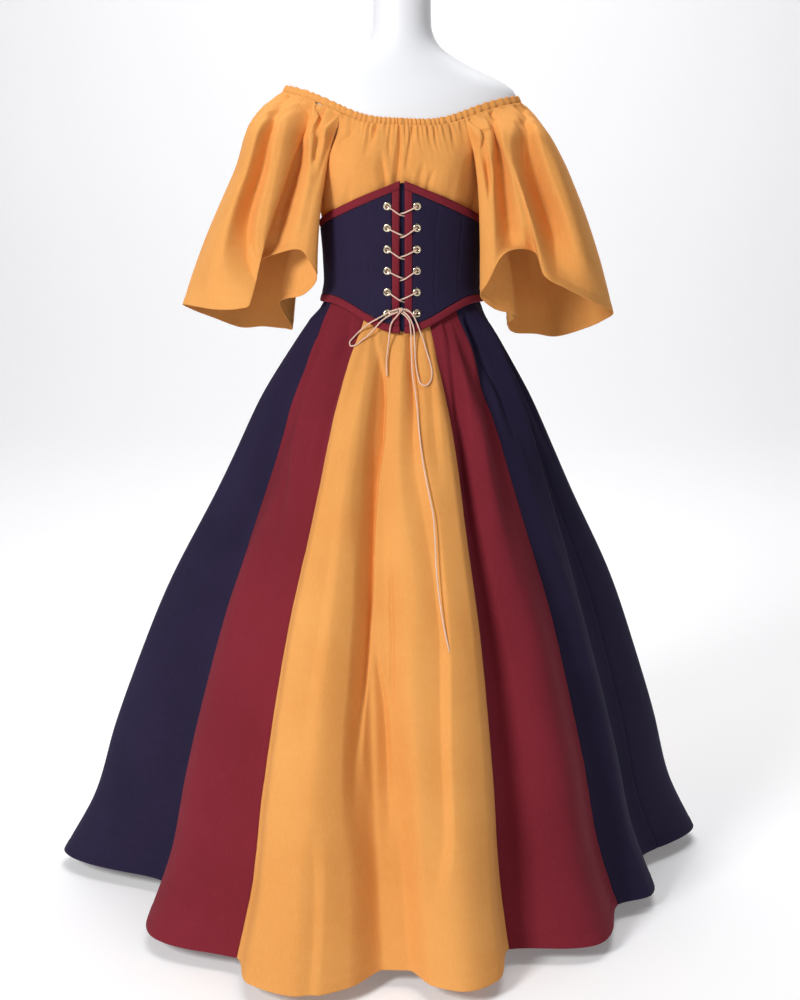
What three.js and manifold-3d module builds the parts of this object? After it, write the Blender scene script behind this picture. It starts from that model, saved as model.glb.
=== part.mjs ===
// An off-shoulder corset dress on a limbless dress form with a pole and a round foot.
// Millimetres, +Z up. The origin is on the floor under the middle of the foot, the front looks
// along -Y, and "left" and "right" are those of someone who looks at the front.
//
// Every piece of cloth is a wall of even thickness. Its middle surface is a function of two values:
// how far round (turn, in degrees from the middle of the front, towards +X) and how far down.

import * as THREE from 'three';
import Module from 'manifold-3d';
import { mergeVertices } from 'three/addons/utils/BufferGeometryUtils.js';

const wasm = await Module();
wasm.setup();

// Driving dimensions

const SEAM_GAP = 0.3;
const HALF_GAP = SEAM_GAP / 2;
const BLOUSE_WALL = 1.2;
const SKIRT_WALL = 1.5;
const CORSET_WALL = 2.4;
const BINDING_WALL = 3.4;

const WAIST_Z = 1012;
const HEM_Z = 25;
const NECK_TOP_Z = 1492;
const FORM_FOOT_Z = 775;

const FOOT = { radius: 165, rim: 7, thickness: 12, bevel: 8, coneRadius: 36, coneTop: 17 };
const BOSS = { radius: 24, top: 62, taper: 3 };
const POLE_RADIUS = 15;

// The form, from its foot to its neck: half its width, and its depth in front of and behind the axis
const BODY = [
  { z: 775, half: 146, front: 92, back: 100 },
  { z: 800, half: 152, front: 96, back: 108 },
  { z: 860, half: 155, front: 99, back: 114 },
  { z: 920, half: 143, front: 95, back: 107 },
  { z: 965, half: 127, front: 91, back: 95 },
  { z: 1007, half: 120, front: 88, back: 87 },
  { z: 1060, half: 122, front: 91, back: 86 },
  { z: 1120, half: 127, front: 97, back: 90 },
  { z: 1160, half: 135, front: 102, back: 94 },
  { z: 1206, half: 146, front: 106, back: 97 },
  { z: 1250, half: 168, front: 98, back: 97 },
  { z: 1282, half: 186, front: 89, back: 93 },
  { z: 1308, half: 191, front: 82, back: 87 },
  { z: 1325, half: 188, front: 76, back: 81 },
  { z: 1338, half: 180, front: 71, back: 76 },
  { z: 1350, half: 160, front: 67, back: 71 },
  { z: 1362, half: 132, front: 64, back: 67 },
  { z: 1376, half: 101, front: 60, back: 63 },
  { z: 1392, half: 71, front: 56, back: 59 },
  { z: 1411, half: 53, front: 51, back: 54 },
  { z: 1434, half: 47, front: 48, back: 51 },
  { z: NECK_TOP_Z, half: 46, front: 47, back: 50 },
];
const FORM_LEVELS = [
  FORM_FOOT_Z, 833, 891, 949, 1007, 1050, 1083, 1117, 1150, 1172, 1190, 1209, 1227, 1245, 1264, 1282,
  1304, 1324, 1340, 1354, 1368, 1382, 1398, 1420, NECK_TOP_Z,
];
const BUST = { turn: 36, turnReach: 21, z: 1203, zReach: 42, depth: 15 };
// One shoulder of the form stands a little lower than the other
const LEAN = { slope: -0.045, start: 1200, full: 1290, fade: 1372, end: 1430 };

// The gathered neckline: heights of its top edge, its height as a band, and its small gathers
const NECKLINE = {
  frontZ: 1280, sideZ: 1328, backZ: 1298, power: 4.5,
  height: 12, inner: 1.0, outer: 4.4, topOuter: 3.6, gathers: 80, gatherDepth: 0.8, seam: 0.8,
};

// The raglan seams run from the neckline to the armpit
const RAGLAN = { topTurn: 50, armpitTurn: 90, armpitZ: 1170, power: 2.2, clearance: 1.9, overlap: 2.3 };
const BLOUSE = {
  waistLift: 3.2, bustLift: 5.6, liftFrom: 1050, liftTo: 1190, gathers: 22, gatherDepth: 1.1, gatherReach: 90,
};
const BODICE_ROWS = [0, 0.06, 0.12, 0.18, 0.24, 0.3, 0.36, 0.42, 0.5, 0.62, 0.8, 1];

// Where the skirt leaves the body, how its radius grows from there to the hem, and its waist gathers
const SKIRT = {
  lift: 3.4, releaseBelow: 10, gathers: 20, pressedDepth: 1.3, freeDepth: 4.5, gatherEnd: 0.3, travel: 0.7,
};
const FLARE = [
  { down: 0, share: 0 },
  { down: 0.03, share: 0.03 },
  { down: 0.063, share: 0.078 },
  { down: 0.1, share: 0.13 },
  { down: 0.187, share: 0.246 },
  { down: 0.347, share: 0.412 },
  { down: 0.5, share: 0.58 },
  { down: 0.6, share: 0.668 },
  { down: 0.764, share: 0.795 },
  { down: 0.886, share: 0.872 },
  { down: 1, share: 1 },
];
// Each large fold of the skirt, crest after valley: where it starts at the waist, where it ends at
// the hem, and the hem's distance there from the axis
const FOLDS = [
  { waist: -171, hem: -171, radius: 555 },
  { waist: -156, hem: -156, radius: 470 },
  { waist: -141, hem: -142, radius: 560 },
  { waist: -126, hem: -127, radius: 480 },
  { waist: -108, hem: -111, radius: 548 },
  { waist: -100, hem: -102, radius: 520 },
  { waist: -86, hem: -90, radius: 596 },
  { waist: -72, hem: -69, radius: 428 },
  { waist: -52, hem: -46, radius: 530 },
  { waist: -36, hem: -30, radius: 498 },
  { waist: -27, hem: -17.5, radius: 586 },
  { waist: -17, hem: -1, radius: 462 },
  { waist: 8, hem: 10, radius: 548 },
  { waist: 27, hem: 22, radius: 436 },
  { waist: 38, hem: 38, radius: 490 },
  { waist: 51, hem: 55.5, radius: 426 },
  { waist: 60, hem: 64, radius: 458 },
  { waist: 77, hem: 83, radius: 418 },
  { waist: 97, hem: 103, radius: 548 },
  { waist: 118, hem: 122, radius: 462 },
  { waist: 136, hem: 138, radius: 556 },
  { waist: 153, hem: 153, radius: 474 },
  { waist: 172, hem: 172, radius: 550 },
  { waist: 180.5, hem: 180.5, radius: 500 },
];
// The gores of the skirt, from seam to seam, at the waist and at the hem
const GORES = [
  { name: 'skirt_front', colour: 'mustard', from: -36, to: 27, hemFrom: -30, hemTo: 22, columns: 14 },
  { name: 'skirt_front_right', colour: 'burgundy', from: 27, to: 51, hemFrom: 22, hemTo: 55.5, columns: 8 },
  { name: 'skirt_side_right', colour: 'navy', from: 51, to: 84, hemFrom: 55.5, hemTo: 90, columns: 8 },
  { name: 'skirt_side_back_right', colour: 'navy', from: 84, to: 118, hemFrom: 90, hemTo: 122, columns: 8 },
  { name: 'skirt_back_right', colour: 'burgundy', from: 118, to: 153, hemFrom: 122, hemTo: 153, columns: 8 },
  { name: 'skirt_back', colour: 'mustard', from: 153, to: 204, hemFrom: 153, hemTo: 204, columns: 12 },
  { name: 'skirt_back_left', colour: 'burgundy', from: 204, to: 234, hemFrom: 204, hemTo: 233, columns: 8 },
  { name: 'skirt_side_back_left', colour: 'navy', from: 234, to: 260, hemFrom: 233, hemTo: 258, columns: 7 },
  { name: 'skirt_side_left', colour: 'navy', from: 260, to: 288, hemFrom: 258, hemTo: 291, columns: 8 },
  { name: 'skirt_front_left', colour: 'burgundy', from: 288, to: 324, hemFrom: 291, hemTo: 330, columns: 9 },
];
const SKIRT_ROWS = [0, 0.03, 0.06, 0.095, 0.16, 0.27, 0.42, 0.6, 0.82, 1];

// The corset: its edges, the gap down its front, its side seams and its eyelets
const CORSET = {
  lift: 8.6, frontLift: 11.6, frontReach: 32,
  topSideZ: 1122, topRise: 62, topReach: 85, topPower: 1.15,
  bottomSideZ: 988, bottomDrop: 47, bottomReach: 72, bottomFlare: 5, flareHeight: 40,
  binding: 13, frontGap: 4, frontStrip: 12.5, sideSeam: 78, frontColumns: 7, backColumns: 18, rows: 9,
  seamShare: 0.008,
};
const EYELETS = {
  rows: 6, x: 23.5, topZ: 1143, pitch: 34, holeRadius: 4,
  flange: 6.6, rim: 0.9, barrel: 3.6, bore: 2.7, above: 0.45, depth: 3.0, sides: 8,
};
// The lace's heights over the corset's middle surface
const LACE_HEIGHT = {
  under: -3.5, tucked: -3.7, inHole: -1.6, outHole: 2.2, over: 3.7, crest: 4.4, knot: 4.6, rest: 5,
};
// Where the lace turns: distances towards the middle and down from an eyelet, the share of the way to
// the next eyelet at which it dives into the gap, and the shares of the way from the last eyelet to the knot
const LACE = {
  radius: 1.15, sides: 8, crossing: 3.4,
  start: [{ inwards: 7, up: 4 }, { inwards: 2, up: 1 }],
  rim: { inwards: 1, fall: 0.4 }, lip: { inwards: 4, fall: 2 }, arrive: { inwards: 2.6, up: 1 },
  crossShare: 0.42, edgeShare: 0.86, edgeX: 5.2, gapX: 1.4, gapFall: 1, underX: 5.5, underFall: 3,
  toKnot: [{ x: 0.55, z: 0.5 }, { x: 0.81, z: 0.75 }],
  knot: { x: -2.6, y: -108.6, z: 978.8, halfX: 4.4, halfY: 4, halfZ: 4.2 },
};
// The bow's two loops and two free ends, each as the points that its cord follows
const BOW = [
  {
    name: 'bow_loop_left',
    route: [[-7.2, -109.5, 980.4], [-19, -108.5, 976.5], [-33, -107, 968.5], [-44, -106.6, 962.5],
      [-55, -104, 956], [-67, -101.8, 946], [-78, -105.5, 935], [-84, -108.5, 928], [-83, -111.7, 922],
      [-75, -113.2, 923], [-64, -110.5, 931], [-53, -107.8, 940], [-44, -108.2, 949.5], [-33, -109.2, 961.5],
      [-20, -109.6, 970.5], [-6.8, -110.2, 976]],
  },
  {
    name: 'bow_loop_right',
    route: [[1.9, -109.5, 980.2], [9, -109.8, 979], [17.5, -110, 970.5], [24, -111, 957.5],
      [29.5, -111.6, 943], [34.5, -114, 929.5], [40, -123, 911], [45.5, -132, 894],
      [47.5, -142, 879], [44.5, -150, 868], [37, -154.5, 862], [29, -152.5, 866], [24.5, -143.5, 879],
      [21.5, -132.5, 896.5], [20.5, -121, 915], [20, -113.4, 934], [18.5, -113, 950], [14, -112.5, 962.5],
      [8.5, -112, 971], [1.6, -110.4, 976.4]],
  },
  {
    name: 'bow_end_short',
    route: [[-4.4, -109.6, 974.4], [-9, -110, 968.5], [-14, -111, 963], [-17.5, -112, 957],
      [-19.5, -113.4, 948], [-20.5, -113, 939], [-22, -113.4, 926], [-23.5, -118, 914],
      [-25, -124.5, 901], [-25, -130, 890], [-24.5, -137.5, 876]],
  },
  {
    name: 'bow_end_long',
    route: [[-0.6, -109, 974.3], [7, -110.2, 968], [12, -112, 960], [13.5, -113.6, 950], [14.5, -113.6, 938],
      [15, -120.5, 916], [15.5, -136, 893], [17, -149, 874], [20, -160, 857], [23.5, -176, 831],
      [26.5, -197.5, 797], [32, -224.5, 752], [40, -245, 711], [48, -263, 672], [50.5, -281.5, 635],
      [52, -300.5, 598], [57, -323, 551], [64, -341.5, 511], [71, -354.5, 481]],
  },
];

// The folds of a sleeve run from a place on its upper edge to a place on its hem, and stand out of its
// front or its back by their depth, or sink into it. They rise below the neckline and fade to the hem
const SLEEVE_FOLD = { riseTo: 0.3, fadeFrom: 0.7 };
// The hem of each sleeve, from the armpit round its front, its outer side and its back. "at" is the
// place on the sleeve's upper edge that the point hangs from: 0 is the armpit, 108 the front corner of
// the neckline, 180 the shoulder and 252 the back corner
const SLEEVE = {
  columns: 42, rows: [0, 0.06, 0.16, 0.32, 0.52, 0.76, 1],
  push: 8, clearance: 2.6, frontCorner: 108, backCorner: 252,
};
const SLEEVE_RIGHT = {
  name: 'sleeve_right', side: 1, spread: 0.56, drop: 0.3,
  hem: [
    { at: 0, x: 178, y: 25, z: 946 },
    { at: 30, x: 187, y: -25, z: 966 },
    { at: 50, x: 150, y: -58, z: 978 },
    { at: 64, x: 126, y: -80, z: 1000 },
    { at: 78, x: 136, y: -98, z: 1022 },
    { at: 93, x: 158, y: -106, z: 1063 },
    { at: 106, x: 184, y: -96, z: 1075 },
    { at: 118, x: 215, y: -76, z: 1068 },
    { at: 130, x: 226, y: -106, z: 1034 },
    { at: 146, x: 259, y: -92, z: 1014 },
    { at: 164, x: 311, y: -52, z: 989 },
    { at: 183, x: 352, y: 0, z: 969 },
    { at: 203, x: 342, y: 42, z: 953 },
    { at: 222, x: 314, y: 80, z: 936 },
    { at: 242, x: 268, y: 104, z: 921 },
    { at: 264, x: 232, y: 94, z: 926 },
    { at: 300, x: 194, y: 64, z: 930 },
  ],
  folds: [
    { from: 112, to: 84, depth: 5, reach: 8 },
    { from: 128, to: 99, depth: -11, reach: 9 },
    { from: 140, to: 114, depth: 7, reach: 8 },
    { from: 157, to: 130, depth: -13, reach: 10 },
    { from: 206, to: 214, depth: -10, reach: 11 },
    { from: 232, to: 244, depth: 9, reach: 11 },
  ],
};
const SLEEVE_LEFT = {
  name: 'sleeve_left', side: -1, spread: 0.54, drop: 0.36,
  hem: [
    { at: 0, x: -184, y: 14, z: 944 },
    { at: 30, x: -200, y: -30, z: 988 },
    { at: 50, x: -161, y: -62, z: 1001 },
    { at: 66, x: -138, y: -84, z: 1026 },
    { at: 82, x: -148, y: -99, z: 1055 },
    { at: 97, x: -168, y: -100, z: 1075 },
    { at: 110, x: -227, y: -88, z: 1059 },
    { at: 120, x: -262, y: -70, z: 1040 },
    { at: 130, x: -242, y: -112, z: 992 },
    { at: 142, x: -262, y: -112, z: 981 },
    { at: 157, x: -301, y: -90, z: 979 },
    { at: 170, x: -332, y: -55, z: 981 },
    { at: 185, x: -366, y: 0, z: 982 },
    { at: 204, x: -352, y: 40, z: 970 },
    { at: 222, x: -326, y: 76, z: 956 },
    { at: 242, x: -281, y: 104, z: 937 },
    { at: 264, x: -242, y: 94, z: 939 },
    { at: 300, x: -202, y: 58, z: 938 },
  ],
  folds: [
    { from: 124, to: 95, depth: 7, reach: 9 },
    { from: 138, to: 106, depth: -13, reach: 10 },
    { from: 158, to: 121, depth: 8, reach: 9 },
    { from: 172, to: 140, depth: -8, reach: 10 },
    { from: 204, to: 212, depth: -10, reach: 11 },
    { from: 233, to: 246, depth: 9, reach: 11 },
  ],
};

const FINISH = {
  mustard: { color: 0xd9964a, roughness: 0.9, metalness: 0 },
  burgundy: { color: 0x72202f, roughness: 0.9, metalness: 0 },
  navy: { color: 0x26213a, roughness: 0.9, metalness: 0 },
  form: { color: 0xe9e9ec, roughness: 0.45, metalness: 0 },
  steel: { color: 0xb8babd, roughness: 0.35, metalness: 1 },
  brass: { color: 0xd8c79a, roughness: 0.3, metalness: 1 },
  cord: { color: 0xe0b9a0, roughness: 0.8, metalness: 0 },
};

const part = new THREE.Group();

// Small helpers

const radians = THREE.MathUtils.degToRad;
const mix = THREE.MathUtils.lerp;
const ease = THREE.MathUtils.smoothstep;
const clamp = THREE.MathUtils.clamp;

// A smooth curve through a table's column that never swings past its neighbours
function readTable(rows, key, column, at) {
  const last = rows.length - 1;
  if (at <= rows[0][key]) return rows[0][column];
  if (at >= rows[last][key]) return rows[last][column];
  let i = 0;
  while (rows[i + 1][key] < at) i += 1;
  const slope = (k) => (rows[k + 1][column] - rows[k][column]) / (rows[k + 1][key] - rows[k][key]);
  const tangent = (k) => {
    if (k === 0) return slope(0);
    if (k === last) return slope(last - 1);
    const before = slope(k - 1);
    const after = slope(k);
    if (before * after <= 0) return 0;
    return (2 * before * after) / (before + after);
  };
  const width = rows[i + 1][key] - rows[i][key];
  return hermite(rows[i][column], rows[i + 1][column], tangent(i) * width, tangent(i + 1) * width,
    (at - rows[i][key]) / width);
}

function hermite(start, end, leave, arrive, t) {
  const t2 = t * t;
  const t3 = t2 * t;
  return (2 * t3 - 3 * t2 + 1) * start + (t3 - 2 * t2 + t) * leave
    + (3 * t2 - 2 * t3) * end + (t3 - t2) * arrive;
}

// A closed curve through a ring of rows, each with its place "at" on a circle of 360
function readRing(rows, column, at) {
  const count = rows.length;
  const place = (k) => rows[((k % count) + count) % count].at + 360 * Math.floor(k / count);
  const value = (k) => rows[((k % count) + count) % count][column];
  const turn = ((at % 360) + 360) % 360;
  let i = 0;
  while (i < count - 1 && rows[i + 1].at <= turn) i += 1;
  const tangent = (k) => (value(k + 1) - value(k - 1)) / (place(k + 1) - place(k - 1));
  const width = place(i + 1) - place(i);
  return hermite(value(i), value(i + 1), tangent(i) * width, tangent(i + 1) * width,
    (turn - place(i)) / width);
}

function around(turn, radius, z) {
  const angle = radians(turn);
  return new THREE.Vector3(radius * Math.sin(angle), -radius * Math.cos(angle), z);
}

// The lower shoulder: what lies between the bust and the neck leans to one side
function lean(point) {
  const share = ease(point.z, LEAN.start, LEAN.full) * (1 - ease(point.z, LEAN.fade, LEAN.end));
  point.z += LEAN.slope * share * point.x;
  return point;
}

function spaced(count, from = 0, to = 1) {
  return Array.from({ length: count + 1 }, (unused, i) => mix(from, to, i / count));
}

function addMesh(name, geometry, finish) {
  const plain = geometry.index === null ? geometry : geometry.toNonIndexed();
  plain.computeVertexNormals();
  const mesh = new THREE.Mesh(plain, new THREE.MeshStandardMaterial(FINISH[finish]));
  mesh.name = name;
  part.add(mesh);
  return mesh;
}

function geometryOf(points, faces) {
  const geometry = new THREE.BufferGeometry();
  const numbers = points.flatMap((point) => [point.x, point.y, point.z]);
  geometry.setAttribute('position', new THREE.Float32BufferAttribute(numbers, 3));
  geometry.setIndex(faces);
  return geometry;
}

// The outward direction of a middle surface, which runs to +X in front as its turn grows
function outward(surface, turn, down, side) {
  const stepTurn = 0.002;
  const stepDown = 0.002;
  const across = surface(turn + stepTurn, down).sub(surface(turn - stepTurn, down));
  const fall = surface(turn, down + stepDown).sub(surface(turn, down - stepDown));
  return fall.cross(across).normalize().multiplyScalar(side);
}

// A wall of even thickness on a middle surface. A ring closes on itself, a panel has four edges
function wall(surface, turns, downs, thickness, { ring = false, side = 1 } = {}) {
  const columns = ring ? turns.slice(0, -1) : turns;
  const wide = columns.length;
  const tall = downs.length;
  const points = [];
  for (const face of [0.5, -0.5]) {
    for (const down of downs) {
      for (const turn of columns) {
        const normal = outward(surface, turn, down, side);
        points.push(lean(surface(turn, down).addScaledVector(normal, face * thickness)));
      }
    }
  }
  const at = (layer, row, column) => layer * wide * tall + row * wide + (column % wide);
  const faces = [];
  const quad = (a, b, c, d) => {
    if (side > 0) faces.push(a, b, c, a, c, d);
    else faces.push(a, c, b, a, d, c);
  };
  const spans = ring ? wide : wide - 1;
  for (let row = 0; row < tall - 1; row += 1) {
    for (let column = 0; column < spans; column += 1) {
      quad(at(0, row, column), at(0, row + 1, column), at(0, row + 1, column + 1), at(0, row, column + 1));
      quad(at(1, row, column), at(1, row, column + 1), at(1, row + 1, column + 1), at(1, row + 1, column));
    }
  }
  for (let column = 0; column < spans; column += 1) {
    const low = tall - 1;
    quad(at(0, 0, column), at(0, 0, column + 1), at(1, 0, column + 1), at(1, 0, column));
    quad(at(0, low, column), at(1, low, column), at(1, low, column + 1), at(0, low, column + 1));
  }
  if (!ring) {
    for (let row = 0; row < tall - 1; row += 1) {
      const end = wide - 1;
      quad(at(0, row, 0), at(1, row, 0), at(1, row + 1, 0), at(0, row + 1, 0));
      quad(at(0, row, end), at(0, row + 1, end), at(1, row + 1, end), at(1, row, end));
    }
  }
  return geometryOf(points, faces);
}

// Cutting holes

function solidOf(geometry) {
  const bare = geometry.clone();
  bare.deleteAttribute('normal');
  bare.deleteAttribute('uv');
  const merged = mergeVertices(bare, 1e-4);
  return new wasm.Manifold(new wasm.Mesh({
    numProp: 3,
    vertProperties: new Float32Array(merged.attributes.position.array),
    triVerts: new Uint32Array(merged.index.array),
  }));
}

function geometryOfSolid(solid) {
  const mesh = solid.getMesh();
  const geometry = new THREE.BufferGeometry();
  geometry.setAttribute('position', new THREE.BufferAttribute(new Float32Array(mesh.vertProperties), 3));
  geometry.setIndex(new THREE.BufferAttribute(new Uint32Array(mesh.triVerts), 1));
  return geometry;
}

// The dress form and its stand

function bodyRadius(turn, z) {
  const half = readTable(BODY, 'z', 'half', z);
  const angle = radians(turn);
  const depth = readTable(BODY, 'z', Math.cos(angle) >= 0 ? 'front' : 'back', z);
  const oval = (half * depth) / Math.hypot(depth * Math.sin(angle), half * Math.cos(angle));
  return oval + bustDepth(turn, z);
}

function bustDepth(turn, z) {
  const level = Math.exp(-(((z - BUST.z) / BUST.zReach) ** 2));
  const reach = (middle) => Math.exp(-(((wrap(turn) - middle) / BUST.turnReach) ** 2));
  return BUST.depth * level * (reach(BUST.turn) + reach(-BUST.turn));
}

function wrap(turn) {
  return ((((turn + 180) % 360) + 360) % 360) - 180;
}

function buildForm() {
  const sides = 24;
  const points = [];
  for (const z of FORM_LEVELS) {
    for (let i = 0; i < sides; i += 1) {
      const turn = (360 * i) / sides;
      points.push(lean(around(turn, bodyRadius(turn, z), z)));
    }
  }
  const foot = points.push(new THREE.Vector3(0, 0, FORM_FOOT_Z)) - 1;
  const crown = points.push(new THREE.Vector3(0, 0, NECK_TOP_Z)) - 1;
  const faces = [];
  const top = (FORM_LEVELS.length - 1) * sides;
  for (let i = 0; i < sides; i += 1) {
    const next = (i + 1) % sides;
    for (let row = 0; row < FORM_LEVELS.length - 1; row += 1) {
      const low = row * sides;
      faces.push(low + i, low + next, low + sides + next, low + i, low + sides + next, low + sides + i);
    }
    faces.push(foot, next, i);
    faces.push(crown, top + i, top + next);
  }
  addMesh('form_torso', geometryOf(points, faces), 'form');
}

function buildStand() {
  const { radius, rim, thickness, bevel, coneRadius, coneTop } = FOOT;
  const profile = [[0, 0], [radius, 0], [radius, rim], [radius - bevel, thickness], [coneRadius, coneTop],
    [0, coneTop]];
  const foot = new THREE.LatheGeometry(profile.map(([x, y]) => new THREE.Vector2(x, y)), 24);
  foot.rotateX(Math.PI / 2);
  addMesh('stand_foot', foot, 'steel');
  const bossHeight = BOSS.top - coneTop - SEAM_GAP;
  const boss = new THREE.CylinderGeometry(BOSS.radius - BOSS.taper, BOSS.radius, bossHeight, 16);
  boss.rotateX(Math.PI / 2);
  boss.translate(0, 0, coneTop + SEAM_GAP + bossHeight / 2);
  addMesh('stand_boss', boss, 'steel');
  const length = FORM_FOOT_Z - BOSS.top - 2 * SEAM_GAP;
  const pole = new THREE.CylinderGeometry(POLE_RADIUS, POLE_RADIUS, length, 12);
  pole.rotateX(Math.PI / 2);
  pole.translate(0, 0, BOSS.top + SEAM_GAP + length / 2);
  addMesh('stand_pole', pole, 'steel');
}

// The blouse

function necklineZ(turn) {
  const middle = Math.cos(radians(turn)) >= 0 ? NECKLINE.frontZ : NECKLINE.backZ;
  const share = Math.abs(Math.sin(radians(turn))) ** NECKLINE.power;
  return mix(middle, NECKLINE.sideZ, share);
}

function buildNeckline() {
  const count = NECKLINE.gathers * 2;
  const points = [];
  for (let i = 0; i < count; i += 1) {
    const turn = (360 * i) / count;
    const ripple = i % 2 === 0 ? NECKLINE.gatherDepth : -NECKLINE.gatherDepth;
    const top = necklineZ(turn);
    const low = top - NECKLINE.height;
    points.push(lean(around(turn, bodyRadius(turn, top) + NECKLINE.topOuter + ripple, top + ripple)));
    points.push(lean(around(turn, bodyRadius(turn, low) + NECKLINE.outer + ripple, low)));
    points.push(lean(around(turn, bodyRadius(turn, low) + NECKLINE.inner, low)));
    points.push(lean(around(turn, bodyRadius(turn, top) + NECKLINE.inner, top)));
  }
  const faces = [];
  for (let i = 0; i < count; i += 1) {
    const here = i * 4;
    const next = ((i + 1) % count) * 4;
    for (let corner = 0; corner < 4; corner += 1) {
      const after = (corner + 1) % 4;
      faces.push(here + corner, here + after, next + after, here + corner, next + after, next + corner);
    }
  }
  addMesh('neckline_casing', geometryOf(points, faces), 'mustard');
}

function blouseRadius(turn, z) {
  const lift = mix(BLOUSE.waistLift, BLOUSE.bustLift, ease(z, BLOUSE.liftFrom, BLOUSE.liftTo));
  const below = necklineZ(turn) - NECKLINE.height - z;
  const strength = Math.max(0, 1 - below / BLOUSE.gatherReach);
  const gather = BLOUSE.gatherDepth * strength * Math.cos(radians(turn * BLOUSE.gathers));
  return bodyRadius(turn, z) + lift + gather;
}

// How far round the front panel reaches at a share of the way down, and the height there
function raglanEdge(down) {
  const topZ = necklineZ(RAGLAN.topTurn) - NECKLINE.height - NECKLINE.seam;
  const z = mix(topZ, WAIST_Z, down);
  const share = clamp((topZ - z) / (topZ - RAGLAN.armpitZ), 0, 1);
  return { turn: mix(RAGLAN.topTurn, RAGLAN.armpitTurn, share ** RAGLAN.power), z };
}

function buildBodice() {
  const panel = (middle) => (across, down) => {
    const edge = raglanEdge(clamp(down, 0, 1));
    const trim = THREE.MathUtils.radToDeg(HALF_GAP / blouseRadius(edge.turn, edge.z));
    const turn = middle + across * (edge.turn - trim);
    const top = necklineZ(turn) - NECKLINE.height - NECKLINE.seam;
    const z = mix(top, WAIST_Z, down);
    return around(turn, blouseRadius(turn, z), z);
  };
  addMesh('bodice_front', wall(panel(0), spaced(16, -1, 1), BODICE_ROWS, BLOUSE_WALL), 'mustard');
  addMesh('bodice_back', wall(panel(180), spaced(14, -1, 1), BODICE_ROWS, BLOUSE_WALL), 'mustard');
}

// A point of the sleeve's upper edge: up the front raglan seam, along the neckline, down the back
function armholePoint(at, side) {
  const place = ((at % 360) + 360) % 360;
  const clear = (turn, z) => THREE.MathUtils.radToDeg(RAGLAN.clearance / blouseRadius(turn, z));
  const armpitDown = (raglanEdge(0).z - RAGLAN.armpitZ) / (raglanEdge(0).z - WAIST_Z);
  const onSeam = (share, back) => {
    const edge = raglanEdge(armpitDown * (1 - share));
    const bearing = (share * Math.PI) / 2;
    const turn = edge.turn + clear(edge.turn, edge.z) * Math.sin(bearing);
    const z = edge.z + RAGLAN.clearance * Math.cos(bearing);
    const radius = blouseRadius(back ? 180 - turn : turn, z) + RAGLAN.overlap * Math.sqrt(Math.cos(bearing));
    return around(side * (back ? 180 - turn : turn), radius, z);
  };
  if (place < SLEEVE.frontCorner) return onSeam(place / SLEEVE.frontCorner, false);
  if (place > SLEEVE.backCorner) return onSeam((360 - place) / (360 - SLEEVE.backCorner), true);
  const share = (place - SLEEVE.frontCorner) / (SLEEVE.backCorner - SLEEVE.frontCorner);
  const margin = clear(RAGLAN.topTurn, raglanEdge(0).z);
  const turn = mix(RAGLAN.topTurn + margin, 180 - RAGLAN.topTurn - margin, share);
  const z = necklineZ(turn) - NECKLINE.height - NECKLINE.seam;
  return around(side * turn, blouseRadius(turn, z), z);
}

// Moves a point out from the axis until it lies at least the given distance in front of the blouse
function clearOfBlouse(point, distance) {
  const turn = THREE.MathUtils.radToDeg(Math.atan2(point.x, -point.y));
  const radius = Math.hypot(point.x, point.y);
  const least = blouseRadius(turn, point.z) + distance;
  return radius < least ? around(turn, least, point.z) : point;
}

// How far the folds move a point of the sleeve, along Y
function sleeveFold(sleeve, at, down) {
  const strength = ease(down, 0, SLEEVE_FOLD.riseTo) * (1 - ease(down, SLEEVE_FOLD.fadeFrom, 1));
  let offset = 0;
  for (const fold of sleeve.folds) {
    const away = (at - mix(fold.from, fold.to, down)) / fold.reach;
    const face = fold.from < 180 ? -1 : 1;
    offset += face * fold.depth * strength * Math.exp(-(away ** 2));
  }
  return offset;
}

function buildSleeve(sleeve) {
  const hemPoint = (at) => new THREE.Vector3(
    readRing(sleeve.hem, 'x', at), readRing(sleeve.hem, 'y', at), readRing(sleeve.hem, 'z', at));
  const surface = (around360, down) => {
    const top = armholePoint(around360, sleeve.side);
    const hem = hemPoint(around360);
    const bend = new THREE.Vector3(
      mix(top.x, hem.x, sleeve.spread), mix(top.y, hem.y, sleeve.spread), mix(top.z, hem.z, sleeve.drop));
    bend.add(around(THREE.MathUtils.radToDeg(Math.atan2(top.x, -top.y)), SLEEVE.push, 0));
    const point = top.multiplyScalar((1 - down) ** 2)
      .addScaledVector(bend, 2 * down * (1 - down))
      .addScaledVector(hem, down ** 2);
    point.y += sleeveFold(sleeve, around360, down);
    return clearOfBlouse(point, SLEEVE.clearance * ease(down, 0, 0.03));
  };
  const body = wall(surface, spaced(SLEEVE.columns, 0, 360), SLEEVE.rows, BLOUSE_WALL,
    { ring: true, side: sleeve.side });
  addMesh(sleeve.name, body, 'mustard');
}

// The skirt

function foldRadius(turn, down) {
  const travel = down ** SKIRT.travel;
  const place = (fold) => mix(fold.waist, fold.hem, travel);
  const count = FOLDS.length;
  let at = turn;
  while (at < place(FOLDS[0])) at += 360;
  while (at >= place(FOLDS[0]) + 360) at -= 360;
  let i = 0;
  while (i < count - 1 && place(FOLDS[i + 1]) <= at) i += 1;
  const here = FOLDS[i];
  const next = FOLDS[(i + 1) % count];
  const end = place(next) + (i === count - 1 ? 360 : 0);
  const share = (at - place(here)) / (end - place(here));
  return mix(here.radius, next.radius, (1 - Math.cos(Math.PI * share)) / 2);
}

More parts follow.
